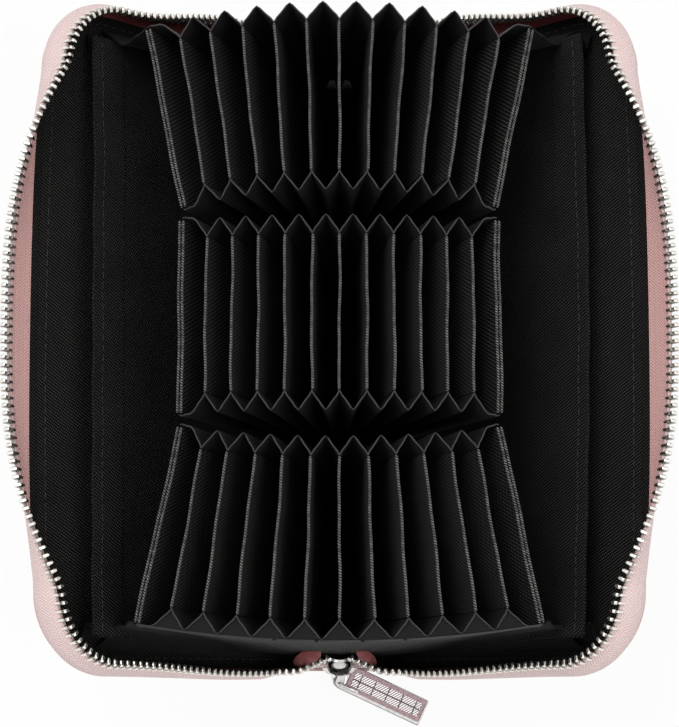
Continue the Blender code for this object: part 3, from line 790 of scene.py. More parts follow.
def teeth_metal(graph, colours):
    """Nickel teeth: bright faces, with painted shade in the hollows at the waist, the flanks and in the head.
    """
    across, along = graph.parts(graph.uv())
    # Painted shade in the hollows: the flanks, the waist and the pit in the head.
    flank = abs(along).ramp(0.00034, 0.00060)
    waist = abs(across - 0.00075).ramp(0.00045, 0.00010) * along.ramp(-0.00050, 0.00010)
    from_pit = graph.wire(graph.node("CombineXYZ", {0: across - 0.00145, 1: along}))
    pit = graph.wire(graph.node("VectorMath", {0: from_pit}, operation="LENGTH"), "Value")
    dark = flank.calc("MAXIMUM", waist.calc("MAXIMUM", pit.ramp(0.00034, 0.00018)))
    wear = graph.noise(graph.place(), 900.0)
    bright = graph.mix(wear.ramp(0.35, 0.7, 0.0, 0.5), (0.90, 0.87, 0.81, 1.0), (0.70, 0.66, 0.60, 1.0))
    return {
        "Base Color": graph.mix(dark * 0.88, bright, (0.045, 0.038, 0.034, 1.0)),
        "Roughness": wear.ramp(0.3, 0.7, 0.22, 0.36),
        "Normal": graph.bump(wear, 0.00003),
        "Metallic": 1.0,
    }


def enamel(graph, colours):
    """Enamel border of the pull, with a fine speckle."""
    speckle = graph.noise(graph.place(), 1500.0, 3.0)
    base, deep = rgba(colours.enamel), rgba(colours.enamel, 0.62, 0.52, 0.56)
    return {
        "Base Color": graph.mix(speckle.ramp(0.4, 0.65), base, deep),
        "Roughness": speckle.ramp(0.3, 0.7, 0.28, 0.42),
        "Normal": graph.bump(speckle, 0.00003),
        "Coat Weight": 0.4,
    }


def hatched_metal(graph, colours):
    """Silver field of the pull: a slanting hatch, cut by cross bars and a middle line."""
    x, y = graph.parts(graph.uv())
    hatch = wave(diagonal(x, y, 0.9), 0.00072).ramp(0.05, 0.6, 0.5, 1.0)
    bars = wave(y, 0.0052).ramp(0.004, 0.016)
    middle = abs(x - PULL["field_x"]).ramp(0.00008, 0.00022)
    cut = hatch * (bars * middle)
    return {
        "Base Color": graph.mix(cut, (0.07, 0.05, 0.055, 1.0), (0.50, 0.47, 0.47, 1.0)),
        "Metallic": cut.ramp(0.0, 1.0, 0.4, 0.85),
        "Roughness": cut.ramp(0.0, 1.0, 0.6, 0.3),
        "Normal": graph.bump(cut, 0.00012),
    }


def floor_paint(graph, colours):
    """Pale matt floor with faint clouds."""
    cloud = graph.noise(graph.place(), 3.0).ramp(0.3, 0.7, 0.0, 0.1)
    return {
        "Base Color": graph.mix(cloud, (0.90, 0.90, 0.90, 1.0), (0.86, 0.86, 0.86, 1.0)),
        "Roughness": 0.9,
    }


def twill_sizes(period, angle, float_length):
    """A twill's own values, by the names of its node group's inputs."""
    return {"period": period, "angle": angle, "float_length": float_length}


FLAP_WEAVE = twill_sizes(0.0006, -0.6, 0.0005)
LOOKS = {
    # Each cloth look mixes its groove colour with a painted highlight colour on the weave's ridges.
    "Black Lining Twill": partial(
        cloth, twill, "cloth_dark", "cloth_light", 0.00012, twill_sizes(0.00085, 1.05, 0.0007)
    ),
    "Divider Twill": partial(
        cloth, twill, "cloth_dark", "twill_light", 0.00014, twill_sizes(0.00078, 0.45, 0.0011)
    ),
    "Gusset Twill": partial(cloth, twill, "gusset_dark", "gusset_light", 0.00008, FLAP_WEAVE),
    "Gusset Triangle Cloth": partial(cloth, twill, "flap_dark", "flap_light", 0.00005, FLAP_WEAVE),
    "Ribbed Wall Cloth": partial(
        cloth, ribs, "wall_dark", "wall_light", 0.00016, {"period": 0.00068, "weft": 0.0005}
    ),
    # Thread looks give the painted shade colour between the strands first, then the painted highlight colour
    # on them.
    "Overcast Edge Thread": partial(
        thread, (0.00080, 0.55), (0.45, 0.80), (0.004, 0.004, 0.004), "edge_thread", 0.6, 0.00018
    ),
    "Gusset Edge Thread": partial(
        thread, (0.0006, 0.9), (0.0, 1.0), (0.008, 0.008, 0.008), (0.085, 0.082, 0.080), 0.65, 0.0001
    ),
    "Pink Thread": partial(
        thread, (0.0004, 1.0), (0.0, 1.0), (0.396, 0.2585, 0.2475), (0.72, 0.47, 0.45), 0.55, 0.00006
    ),
    "Black Thread": partial(
        thread, (0.0004, 1.0), (0.0, 1.0), (0.0088, 0.00825, 0.00825), (0.016, 0.015, 0.015), 0.55, 0.00006
    ),
    "Pale Pink Leather": leather,
    "Outer Zip Tape": partial(tape, "tape_outer", (0.80, 0.66, 0.66)),
    "Inner Zip Tape": inner_tape,
    "Red Tape Tab": partial(tape, "tape_red", (0.55, 0.5, 0.5)),
    "Polished Slider Metal": partial(metal, (0.74, 0.73, 0.72), 0.14, 0.00001),
    "Brushed Pull Metal": partial(metal, (0.34, 0.33, 0.325), 0.30, 0.00004),
    "Nickel Zip Teeth": teeth_metal,
    "Mauve Enamel": enamel,
    "Hatched Pull Field": hatched_metal,
    "Studio Floor": floor_paint,
}


def look(name):
    """The named material: made once, from the socket values that its builder gives."""
    made = bpy.data.materials.get(name)
    if made is None:
        made = bpy.data.materials.new(name)
        made.use_nodes = True
        graph = Graph(made.node_tree)
        shader = made.node_tree.nodes["Principled BSDF"]
        for socket, value in LOOKS[name](graph, bpy.context.scene.wallet_colours).items():
            graph.feed(shader.inputs[socket], value)
    return made


# Pieces


def border_inset(half, insets, count):
    """Even places from one border to the other, with the columns of the insets outside them.

    The insets run from the widest, where the even places end, to 0, the border itself. The columns
    past the border turn back inside the sheet.
    """
    insets = np.array(insets)
    half = half[:, None]
    middle = np.linspace(-1, 1, count) * (half - insets[0])
    return np.concatenate([insets[1:] - half, middle, half - insets[:0:-1]], axis=1)


def border_thickness(full, least, insets, count):
    """Thickness over the columns of border_inset: it falls evenly to its least share at both ends."""
    ramp = np.linspace(1.0, least, len(insets))[1:]
    return full * np.concatenate([ramp[::-1], np.ones(count), ramp])


def shell_half(side, depth, margin, insets, columns, steps, waves=0.0):
    """Half of the opened shell, from the spine's middle round the fold to the cover's free edge.

    Each row is a line along the spine. The rows' profile is a level stretch, an arc whose tangents
    are the spine and the leaning cover, and then the cover with its bow. Depth moves the profile
    inwards, and waves set how strong the ripples on the cover are, two crossing sine waves.
    """
    radius = FOLD_RADIUS - depth
    level = np.linspace(0, FOLD_X - FOLD_TANGENT, 7)[:-1]
    angle = np.linspace(0, FOLD_BEND, 8)[:-1]
    x = np.concatenate([level, FOLD_X - FOLD_TANGENT + radius * np.sin(angle)])[:, None]
    z = np.append(0 * level + depth, FOLD_RADIUS - radius * np.cos(angle))[:, None] + FOLD_Z
    low_y = border_inset(0 * x[:, 0] + HALF_LENGTH - margin, insets, columns)
    corner_up = COVER_WIDTH - CORNER_RADIUS
    straight = np.linspace(FOLD_TANGENT, corner_up, steps[0], endpoint=False)
    round_up = (CORNER_RADIUS - margin) * np.sin(np.linspace(0, math.pi / 2, steps[1]))
    up = np.concatenate([straight, corner_up + round_up])
    y = border_inset(half_length_at(up, margin), insets, columns)
    up = up[:, None]
    ripple = 0.00012 * np.sin(y * 61 + up * 90) + 0.00010 * np.sin(up * 210 - y * 33 + side)
    out = -depth + waves * ripple * ease((COVER_WIDTH - up) / 0.012) * ease(up / 0.012)
    grid = np.concatenate([joined_grid(side * x, low_y, z), cover_point(side, out, y, up)])
    return grid, np.concatenate([low_y, y])


def fold_blend(piece):
    """The shell's placement is baked into its mesh."""
    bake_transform(piece)


def rim_seam(name, side, word, facing, start_up, inset, lift, radius, thread):
    """Stitching that follows a cover's rim at this inset, lifted off the leather's face.

    Facing is 1 on the cover's outside and -1 on its lining.
    """
    up, y, out_up, out_y = rim_path(start_up)
    line = cover_point(side, facing * (LEATHER / 2 + lift), y - out_y * inset, up - out_up * inset)
    surface = Surface(f"{name}_{word}")
    stitched(surface, line, cover_way(side, facing, 0.0, 0.0), radius)
    return surface.finish([thread], f"{word}_cover")


class WALLET_OT_leather(bpy.types.Operator):
    """Leather shell: both covers with the spine, and the stitching round their rim"""

    bl_idname = "wallet.leather"
    bl_label = "Leather Shell"

    def execute(self, context):
        insets, columns = (0.0012, 0.0005, 0.00015, 0.0), 40
        for side, word in SIDES:
            grid, _ = shell_half(side, 0.0, 0.0, insets, columns, (20, 15))
            thickness = np.tile(border_thickness(LEATHER, 0.45, insets, columns), (len(grid), 1))
            thickness[-1] *= 0.5
            thickness[-2] *= 0.9
            surface = Surface(f"leather_shell_{word}")
            surface.sheet(faced(grid, side > 0), thickness)
            shell = surface.finish(["Pale Pink Leather"])
            fold_blend(shell)
            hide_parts(f"cover_{word}", "spine_cover")
            thread = (0.004, 0.0030, 0.00005, THREAD_RADIUS["rim"], "Pink Thread")
            seam = rim_seam("rim_stitching", side, word, 1, *thread)
        return {"FINISHED"}


class WALLET_OT_lining(bpy.types.Operator):
    """Black lining from the spine round the folds and up both covers, with its topstitching"""

    bl_idname = "wallet.lining"
    bl_label = "Cover Lining"

    def execute(self, context):
        insets, columns = (0.0018, 0.0008, 0.0003, 0.0), 60
        thickness = border_thickness(CLOTH["lining"], 0.6, insets, columns)
        for side, word in SIDES:
            grid, y = shell_half(side, LINING_DEPTH, LINING_MARGIN, insets, columns, (26, 16), 1.0)
            uvs = joined_grid(y, lengths_along(grid)[:, columns // 2, None])
            surface = Surface(f"cover_lining_{word}")
            surface.sheet(faced(grid, side > 0), thickness, uvs=faced(uvs, side > 0))
            piece = surface.finish(["Black Lining Twill"])
            fold_blend(piece)
            thread = (0.006, 0.0036, 0.0004, THREAD_RADIUS["lining"], "Black Thread")
            seam = rim_seam("lining_stitching", side, word, -1, *thread)
        return {"FINISHED"}


def note_panel_grid(side, rows=22, columns=50):
    """Note panel: it leans in from the cover, its belly swells, and its mouth waves a little."""
    share = np.linspace(0, 1, rows)[:, None]
    along = np.linspace(-1, 1, columns)[None]
    y = along * NOTE_PANEL_HALF
    rise = share * NOTE_PANEL_HEIGHT
    out = -NOTE_PANEL_FACE - math.sin(NOTE_PANEL_LEAN) * rise
    out = out - 0.0012 * np.sin(math.pi * share) * (1 - along**4)
    flare = 0.0026 if side < 0 else 0.0012
    mouth = 0.0009 * np.sin(along * 2.3 + side) + flare * ease((along - 0.55) / 0.45)
    out = out + mouth * share**2 + 0.00025 * np.sin(along * 21 + share * 7 + side) * share
    up = NOTE_PANEL_START + math.cos(NOTE_PANEL_LEAN) * rise
    return cover_point(side, out, y, up), y, rise


class WALLET_OT_note_panels(bpy.types.Operator):
    """Note panels with a turned hem along the mouth, and the pleats at their ends"""

    bl_idname = "wallet.note_panels"
    bl_label = "Note Panels"

    def execute(self, context):
        hem_rows = 4
        for side, word in SIDES:
            grid, y, rise = note_panel_grid(side)
            grid, y = faced(grid, side > 0), faced(y, side > 0)
            inward = cover_way(side, -1.0, 0.0, 0.0)
            surface = Surface(f"note_panel_cloth_{word}")
            surface.sheet(grid, CLOTH["panel"], uvs=joined_grid(y, rise))
            hem = grid[-hem_rows:] + inward * 0.00045
            surface.sheet(hem, CLOTH["hem"], uvs=joined_grid(y, rise[-hem_rows:]))
            surface.tube(grid[-1], inward, CORD_RADIUS["panel"], sides=10)
            line = sampled(grid[-1] * 0.2 + grid[-2] * 0.8, np.linspace(0, grid.shape[1] - 1, 160))
            stitched(surface, line + inward * 0.00068, inward, THREAD_RADIUS["panel"], slot=1)
            piece = surface.finish(["Black Lining Twill", "Black Thread"])
            self.bend(piece, side, word, 0.0)
            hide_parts(f"note_panel_{word}")
            self.pleats(side, word)
        return {"FINISHED"}

    def pleats(self, side, word):
        """End pleats: cloth from the panel's end to the lining, its middle pushed into the pocket.

        The push is a squared sine across the pleat, and grows from the foot to the mouth.
        """
        rows = 16
        grid, _, rise = note_panel_grid(side, rows, 3)
        up = NOTE_PANEL_START + math.cos(NOTE_PANEL_LEAN) * rise
        across = np.linspace(0, 1, 9)[:, None]
        fold = np.sin(math.pi * across) ** 2 * (0.5 + 0.5 * np.linspace(0, 1, rows)[:, None, None])
        for end, end_word in ENDS:
            panel = grid[:, :1] if end < 0 else grid[:, -1:]
            wall = cover_point(side, -LINING_FACE, end * (NOTE_PANEL_HALF + 0.001), up)
            pleat = panel * (1 - across) + wall * across
            pleat = pleat + np.array([0, end, 0]) * (0.0004 - 0.0045 * fold)
            surface = Surface(f"note_pocket_pleat_{word}_{end_word}")
            surface.sheet(faced(pleat, side * end < 0), CLOTH["pleat"])
            piece = surface.finish(["Gusset Twill"])
            self.bend(piece, side, word, 1.0)

    def bend(self, piece, side, word, margin):
        """The piece's placement is baked into its mesh; the points at the cover's lining and at the panel's
        mouth are worked out but not used.

        With a margin of 1 these points lie clear of the lining where the cover bows most.
        """
        up = NOTE_PANEL_START + NOTE_PANEL_HEIGHT * math.cos(NOTE_PANEL_LEAN)
        lean = np.array([0.0, NOTE_PANEL_HEIGHT * math.sin(NOTE_PANEL_LEAN)])
        bow = cover_bow(np.full(3, up), np.array([0.0, -NOTE_PANEL_HALF, NOTE_PANEL_HALF]))
        out = -NOTE_PANEL_FACE - margin * ((bow[0] - bow.min()) + 0.0004) - lean
        at_cover, at_panel = cover_point(side, out, 0.0, up)
        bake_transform(piece)


def divider_surface(surface, row, number):
    """One divider: a cloth sheet with slight waves, and the overcast cord along its top.

    The outermost divider of a row runs on over the end gussets and has a second cord beside the first.
    """
    outermost = abs(number) == DIVIDERS
    reach = ROW_LENGTH / 2 - 0.0009 if outermost else row.half_divider
    height = DIVIDER_HEIGHT - 0.0004
    columns = 26
    rows = 18
    along = np.linspace(-1, 1, columns)[None]
    share = np.linspace(0, 1, rows)[:, None]
    y = row.middle + along * reach
    low = row.lift(y)
    rise = low + (height - low) * share
    seed = number * 1.7 + row.direction * 2.9
    waves = 0.00030 * np.sin(along * 3.1 + seed) + 0.00018 * np.sin(along * 7.3 + share * 5 + seed * 2)
    across = waves * share * (1 - 0.5 * share)
    dip = 0.0004 * np.cos(along * 2.2 + seed) * share**4
    grid = row.point(number, y, rise - dip * (1 - along**2), across)
    surface.sheet(grid[:, ::-1], CLOTH["divider"], uvs=joined_grid(y, rise)[:, ::-1])
    top = sampled(grid[-1], np.linspace(0, columns - 1, 90))
    way = row.across_way(number)
    radius = CORD_RADIUS["outer_divider" if outermost else "divider"]
    for gap in (-DIVIDER_CORD_GAP, DIVIDER_CORD_GAP) if outermost else (0.0,):
        surface.tube(top + way * gap, way, radius, sides=10, slot=1, taper=0.6)


class WALLET_OT_dividers(bpy.types.Operator):
    """Card dividers of the three rows, each with its overcast top edge"""

    bl_idname = "wallet.dividers"
    bl_label = "Card Dividers"

    def execute(self, context):
        for name in ROW_NAMES:
            row = Row(name)
            for number in range(-DIVIDERS, DIVIDERS + 1):
                if not number:
                    continue
                word = "right" if number > 0 else "left"
                surface = Surface(f"card_divider_{name}_{word}_{abs(number)}")
                divider_surface(surface, row, number)
                piece = surface.finish(["Divider Twill", "Overcast Edge Thread"], row.body(number))
                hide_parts(f"divider_{name}_{word}_{abs(number)}")
        return {"FINISHED"}


class WALLET_OT_base(bpy.types.Operator):
    """Covered board on the spine, with the three middle dividers that stand on it"""

    bl_idname = "wallet.base"
    bl_label = "Accordion Base"

    def execute(self, context):
        surface = Surface("accordion_board")
        half_x, half_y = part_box("accordion_base")[1][:2]
        z = SPINE_TOP + 0.001
        x = np.concatenate([[-half_x, -half_x + 0.0004], np.linspace(-half_x + 0.001, half_x - 0.001, 12)])
        x = np.concatenate([x, [half_x - 0.0004, half_x]])[:, None]
        y = np.linspace(-half_y, half_y, 40)[None]
        grid = joined_grid(x, y, z + 0.00008 * np.sin(y * 300) * np.cos(x * 400))
        thickness = np.full((grid.shape[0], 1), 0.002)
        thickness[[0, -1]] = 0.0008
        thickness[[1, -2]] = 0.0016
        surface.sheet(grid, thickness)
        board = surface.finish(["Black Lining Twill"], "spine")
        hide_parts("accordion_base")
        for name in ROW_NAMES:
            surface = Surface(f"middle_divider_{name}")
            divider_surface(surface, Row(name), 0)
            piece = surface.finish(["Divider Twill", "Overcast Edge Thread"], "spine")
            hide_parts("accordion_base")
        return {"FINISHED"}


def gusset_lines(row, end):
    """Places along the spine of a row end's folds: at the dividers, at the tips and at the end panels."""
    inner = row.middle + end * (row.half_divider + 0.0003)
    tip = row.middle + end * (ROW_LENGTH / 2 - 0.0008)
    panel = row.middle + end * (ROW_LENGTH / 2 - 0.0002)
    return inner, tip, panel


def fold_places(row, end, number, steps=6):
    """Shares and places across one gap: from a divider out to the tip and back to the next divider."""
    inner, tip, panel = gusset_lines(row, end)
    first = panel if number == -DIVIDERS else inner
    last = panel if number + 1 == DIVIDERS else inner
    half = np.linspace(0, 1, steps)
    share = np.concatenate([number + half / 2, number + 0.5 + half[1:] / 2])
    y = np.concatenate([first + (tip - first) * half, tip + (last - tip) * half[1:]])
    return share, y


def blend_gap(piece, row, number):
    """The cloth of one gap: the tops of the two dividers beside it are worked out, and its placement is baked
    into its mesh.
    """
    sides = (number + 1, number) if number < 0 else (number, number + 1)
    first, last = (tuple(row.point(share, row.middle, DIVIDER_HEIGHT).reshape(3)) for share in sides)
    row.body(sides[0])
    row.body(sides[1])
    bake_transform(piece)


def gusset_piece(row, end, end_word, number):
    """Folded gusset of one gap: two facets that meet in a tip, with a thin cord along their edge.

    At the wallet's ends the gap also gets its part of the end wall.
    """
    share, y = fold_places(row, end, number)
    rise = np.linspace(0, 1, 10)[:, None]
    low = row.lift(y) + 0.0008
    bulge = 0.00035 * np.sin(2 * math.pi * (share - number) * 2 % math.pi)
    grid = row.point(share, y + end * bulge * rise, low + (FOLD_TOP - low) * rise)
    surface = Surface(f"pocket_fold_{row.name}_{end_word}_{number + DIVIDERS:02d}")
    surface.sheet(faced(grid, end < 0), CLOTH["fold"])
    surface.tube(grid[-1], row.across_way(number + 0.5), CORD_RADIUS["fold"], slot=1)
    if row.direction == end:
        gap_wall(surface, row, end, number, share, y)
    return surface


def gap_wall(surface, row, end, number, share, y):
    """One gap's part of an end wall, and at the near end the flat triangles beside the fold's tip.

    The wall leans outwards with the 3.2nd power of the way down. The near wall starts at the folds'
    top, the far wall below it, higher towards the covers. The triangles sink beside the tip.
    """
    band = gusset_lines(row, end)[1] + end * 0.0004
    wall_top = FOLD_TOP
    if end < 0:
        v = np.linspace(0, 1, 5)[:, None]
        sink = 0.0007 * np.abs((share - number) * 2 - 1) * np.sin(math.pi * v)
        triangle = row.point(share, y + (band - y) * v, FOLD_TOP - 0.0004 - sink)
        surface.sheet(triangle, CLOTH["triangle"], slot=2)
    else:
        wall_top = FOLD_TOP * (0.52 + 0.34 * ease((np.abs(share) - 4.2) / 1.8))
    down = np.linspace(0, 1, 12)[:, None]
    belly = 0.0003 * np.sin(math.pi * down) * (0.6 + 0.4 * np.cos(2 * math.pi * (share - number)))
    foot = row.lift(band) * np.clip((np.abs(share) - 1) / 4.5, 0, 1) ** 1.3 + WALL_FOOT_RISE
    wall_y = band + end * (0.0032 * down**3.2 + belly)
    wall = row.point(share, wall_y, wall_top * (1 - down) + foot * down)
    surface.sheet(faced(wall, end > 0), CLOTH["wall"], slot=3)
    if end < 0:
        surface.tube(wall[0], row.across_way(number + 0.5), CORD_RADIUS["wall"], slot=1)


class WALLET_OT_gussets(bpy.types.Operator):
    """Folded gussets at the row ends, and at the wallet's ends the triangles and the wall below"""

    bl_idname = "wallet.gussets"
    bl_label = "Pocket Gussets"

    def execute(self, context):
        cloths = ["Gusset Twill", "Gusset Edge Thread", "Gusset Triangle Cloth", "Ribbed Wall Cloth"]
        for name in ROW_NAMES:
            row = Row(name)
            for end, end_word in ENDS:
                for number in range(-DIVIDERS, DIVIDERS):
                    piece = gusset_piece(row, end, end_word, number).finish(cloths)
                    blend_gap(piece, row, number)
                    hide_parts(f"pocket_gusset_{name}_{end_word}_end")
                    if row.direction == end:
                        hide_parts(f"end_wall_{end_word}")
        return {"FINISHED"}


class WALLET_OT_end_walls(bpy.types.Operator):
    """Side parts of the end walls, from the outer dividers to the covers"""

    bl_idname = "wallet.end_walls"
    bl_label = "End Wall Sides"

    def execute(self, context):
        for end, end_word in ENDS:
            row = Row(end_word)
            for side, word in SIDES:
                self.side_part(row, end, end_word, side, word)
        return {"FINISHED"}

    def side_part(self, row, end, end_word, side, word):
        """Cloth between the outer divider's end and the cover.

        Each row of points runs from the divider's end line to the lining at the same share of
        height, sagging towards the pocket; the top row rises in a soft hump beside the divider.
        At the far end a strip closes the slit between the divider and the wall.
        """
        _, tip, panel = gusset_lines(row, end)
        y_wall = tip + end * 0.0006
        share = np.linspace(0, 1, 14)[:, None]
        across = np.linspace(0, 1, 15)
        foot = float(row.lift(y_wall)) + WALL_FOOT_RISE
        height = foot + (DIVIDER_HEIGHT - 0.001 - foot) * share
        inner = row.point(side * (DIVIDERS + 0.08), y_wall, height)
        up = WALL_SIDE_START + (COVER_WIDTH * 0.80 - WALL_SIDE_START) * share
        outer = cover_point(side, -LINING_FACE, end * (HALF_LENGTH - 0.0044 - 0.002 * share), up)
        grid = inner * (1 - across[:, None]) + outer * across[:, None]
        sag = np.sin(math.pi * across)
        hump = np.exp(-(((across - 0.12) / 0.10) ** 2)) * share**6
        grid[..., 2] += 0.0022 * hump - 0.0045 * sag**0.8 * share**3
        grid[..., 1] -= end * (0.0022 * sag * share + 0.0016 * hump)
        grid[..., 1] += end * 0.0008 * np.sin(across * 9) * share
        grid = faced(grid, side * end > 0)
        surface = Surface(f"end_wall_side_{end_word}_{word}")
        if end > 0:
            start = row.point(side * (DIVIDERS + 0.005), panel + 0.00042, height)
            reach = np.linspace(0, 1, 5)[:, None]
            strip = (start * (1 - reach) + inner * reach)[4:]
            surface.sheet(faced(strip, side > 0), CLOTH["strip"])
        surface.sheet(faced(grid, end < 0), CLOTH["wall"])
        surface.tube(grid[-1], np.array([0.0, 1.0, 0.0]), CORD_RADIUS["wall_side"], slot=1)
        piece = surface.finish(["Ribbed Wall Cloth", "Gusset Twill"], row.body(side * DIVIDERS))
        edge = inner[:, 0]
        upright = unit(edge[-1] - edge[0])
        span = outer[-1, 0] - edge[-1]
        way = unit(span - upright * float(span @ upright))
        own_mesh(piece)
        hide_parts(f"end_wall_{end_word}")


def tape_section(edge, outward, way, bulge, steps):
    """Curved tape: a quadratic curve from inside the cover's edge, out past the rim, to the teeth."""
    start = edge - outward * 0.0022
    end = edge + way * TAPE_WIDTH
    control = edge + outward * bulge + way * (TAPE_WIDTH * 0.30)
    share = np.linspace(0, 1, steps)[None, :, None]
    first = start[:, None] * (1 - share) ** 2
    return first + 2 * control[:, None] * share * (1 - share) + end[:, None] * share**2


class WALLET_OT_tapes(bpy.types.Operator):
    """Zip tapes that curl from the covers' edges to the teeth"""

    bl_idname = "wallet.tapes"
    bl_label = "Zip Tapes"

    def execute(self, context):
        sizes = context.scene.wallet_sizes
        for side, word in SIDES:
            edge, outward, inward, way, turn = rim_stations(side)
            bulge = sizes.tape_bulge * np.sin(np.minimum(turn, math.pi / 2))[:, None]
            grid = tape_section(edge, outward, way, bulge, 9)
            normal = grid_normals(grid)
            facing = np.sign(np.mean(np.sum(normal[:, 4] * inward, axis=1)))
            offset = normal * facing * TAPE_LAYER_OFFSET
            # The binding covers the tape's root, and narrows towards the wallet's ends.
            binding = tape_section(edge, outward, way, bulge, 33)[:, :10] + inward[:, None] * 0.00055
            share = 1 - ease((np.abs(edge[:, 1]) - 0.066) / 0.024)[:, None, None]
            binding = binding[:, :1] + (binding - binding[:, :1]) * (0.1 + 0.9 * share)
            surface = Surface(f"zip_tape_{word}")
            layers = ((grid - offset, grid), (grid + offset, grid), (binding, binding))
            for slot, (layer, section) in enumerate(layers):
                uvs = joined_grid(lengths_along(edge)[:, None], lengths_along(section[len(section) // 2]))
                surface.sheet(faced(layer, side > 0), TAPE_LAYER, slot=slot, uvs=faced(uvs, side > 0))
            surface.tube(grid[:, -1], inward, CORD_RADIUS["tape"])
            cloths = ["Outer Zip Tape", "Inner Zip Tape", "Black Lining Twill"]
            piece = surface.finish(cloths, f"{word}_cover")
            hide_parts(f"zip_tape_{word}")
        return {"FINISHED"}


def tooth_shape():
    """One zip tooth along X: legs that grip the tape's cord, a waist, and a nib for its neighbour."""
    stations = [
        (-0.0020, 0.00030, 0.00080),
        (-0.0017, 0.00056, 0.00112),
        (-0.0004, 0.00062, 0.00122),
        (0.0003, 0.00060, 0.00120),
        (0.0008, 0.00046, 0.00098),
        (0.0013, 0.00066, 0.00118),
        (0.0018, 0.00064, 0.00108),
        (0.0021, 0.00036, 0.00070),
    ]
    return lofted(stations, 12, 2.6)


def place_teeth(surface, path, way, slot=0):
    """Zip teeth at an even pitch along a path, each pointing along the way at its place."""
    spots = even_places(path, bpy.context.scene.wallet_sizes.tooth_pitch)
    along = sampled(np.gradient(path, axis=0), spots)
    turns = frames_of(sampled(way, spots), along)
    surface.copies(tooth_shape(), sampled(path, spots), turns, slot)


class WALLET_OT_teeth(bpy.types.Operator):
    """Zip teeth along both tapes, one by one"""

    bl_idname = "wallet.teeth"
    bl_label = "Zip Teeth"

    def execute(self, context):
        for side, word in SIDES:
            edge, _, _, way, _ = rim_stations(side, RIM_STEP / 2)
            surface = Surface(f"zip_teeth_row_{word}")
            place_teeth(surface, edge + way * (TAPE_WIDTH + TOOTH_REACH), way)
            piece = surface.finish(["Nickel Zip Teeth"], f"{word}_cover", sharp=30.0)
            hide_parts(f"zip_teeth_{word}")
        return {"FINISHED"}


def zip_end_line(side, end):
    """Edge and teeth line of a zip end: curves from the cover's zip to beside the spine's middle.

    The teeth line turns with the tape and is eased sideways to where both tapes meet. The edge
    follows the shell's profile at even lengths: down the cover, round the fold and along the spine.
    """
    y = end * HALF_LENGTH
    meet = side * (0.0036 if end < 0 else 0.0022)
    outward = np.array([0.0, end, 0.0])
    inward = cover_way(side, -1.0, 0.0, 0.0)
    share = np.linspace(0, 1, 24)
    start_turn = float(tape_turn(np.array(ZIP_START), np.array(y)))
    turn = start_turn + ((NEAR_SPINE_TURN if end < 0 else FAR_SPINE_TURN) - start_turn) * share
    way = outward * np.cos(turn)[:, None] + inward * np.sin(turn)[:, None]
    line = cover_point(side, 0.0, y, ZIP_START * (1 - 0.62 * share)) + outward * TAPE_ROOT + way * TAPE_WIDTH
    line[:, 0] += (meet - line[:, 0]) * ease(share) ** 1.4
    if end < 0:
        line[:, 1] += 0.0034 * ease((0.0150 - np.abs(line[:, 0])) / 0.0110)
    cover = cover_point(side, 0.0, y, np.linspace(ZIP_START, FOLD_TANGENT, 12, endpoint=False))
    angle = np.linspace(FOLD_BEND, 0, 8)
    bend_x = side * (FOLD_X - FOLD_TANGENT + FOLD_RADIUS * np.sin(angle))
    bend = joined_grid(bend_x, y, FOLD_Z + FOLD_RADIUS * (1 - np.cos(angle)))
    level = joined_grid(np.linspace(side * (FOLD_X - FOLD_TANGENT), meet, 8)[1:], y, FOLD_Z)
    profile = np.concatenate([cover, bend, level])
    length = lengths_along(profile)
    edge = np.stack([np.interp(share * length[-1], length, part) for part in profile.T], axis=-1)
    return edge + outward * TAPE_ROOT, line


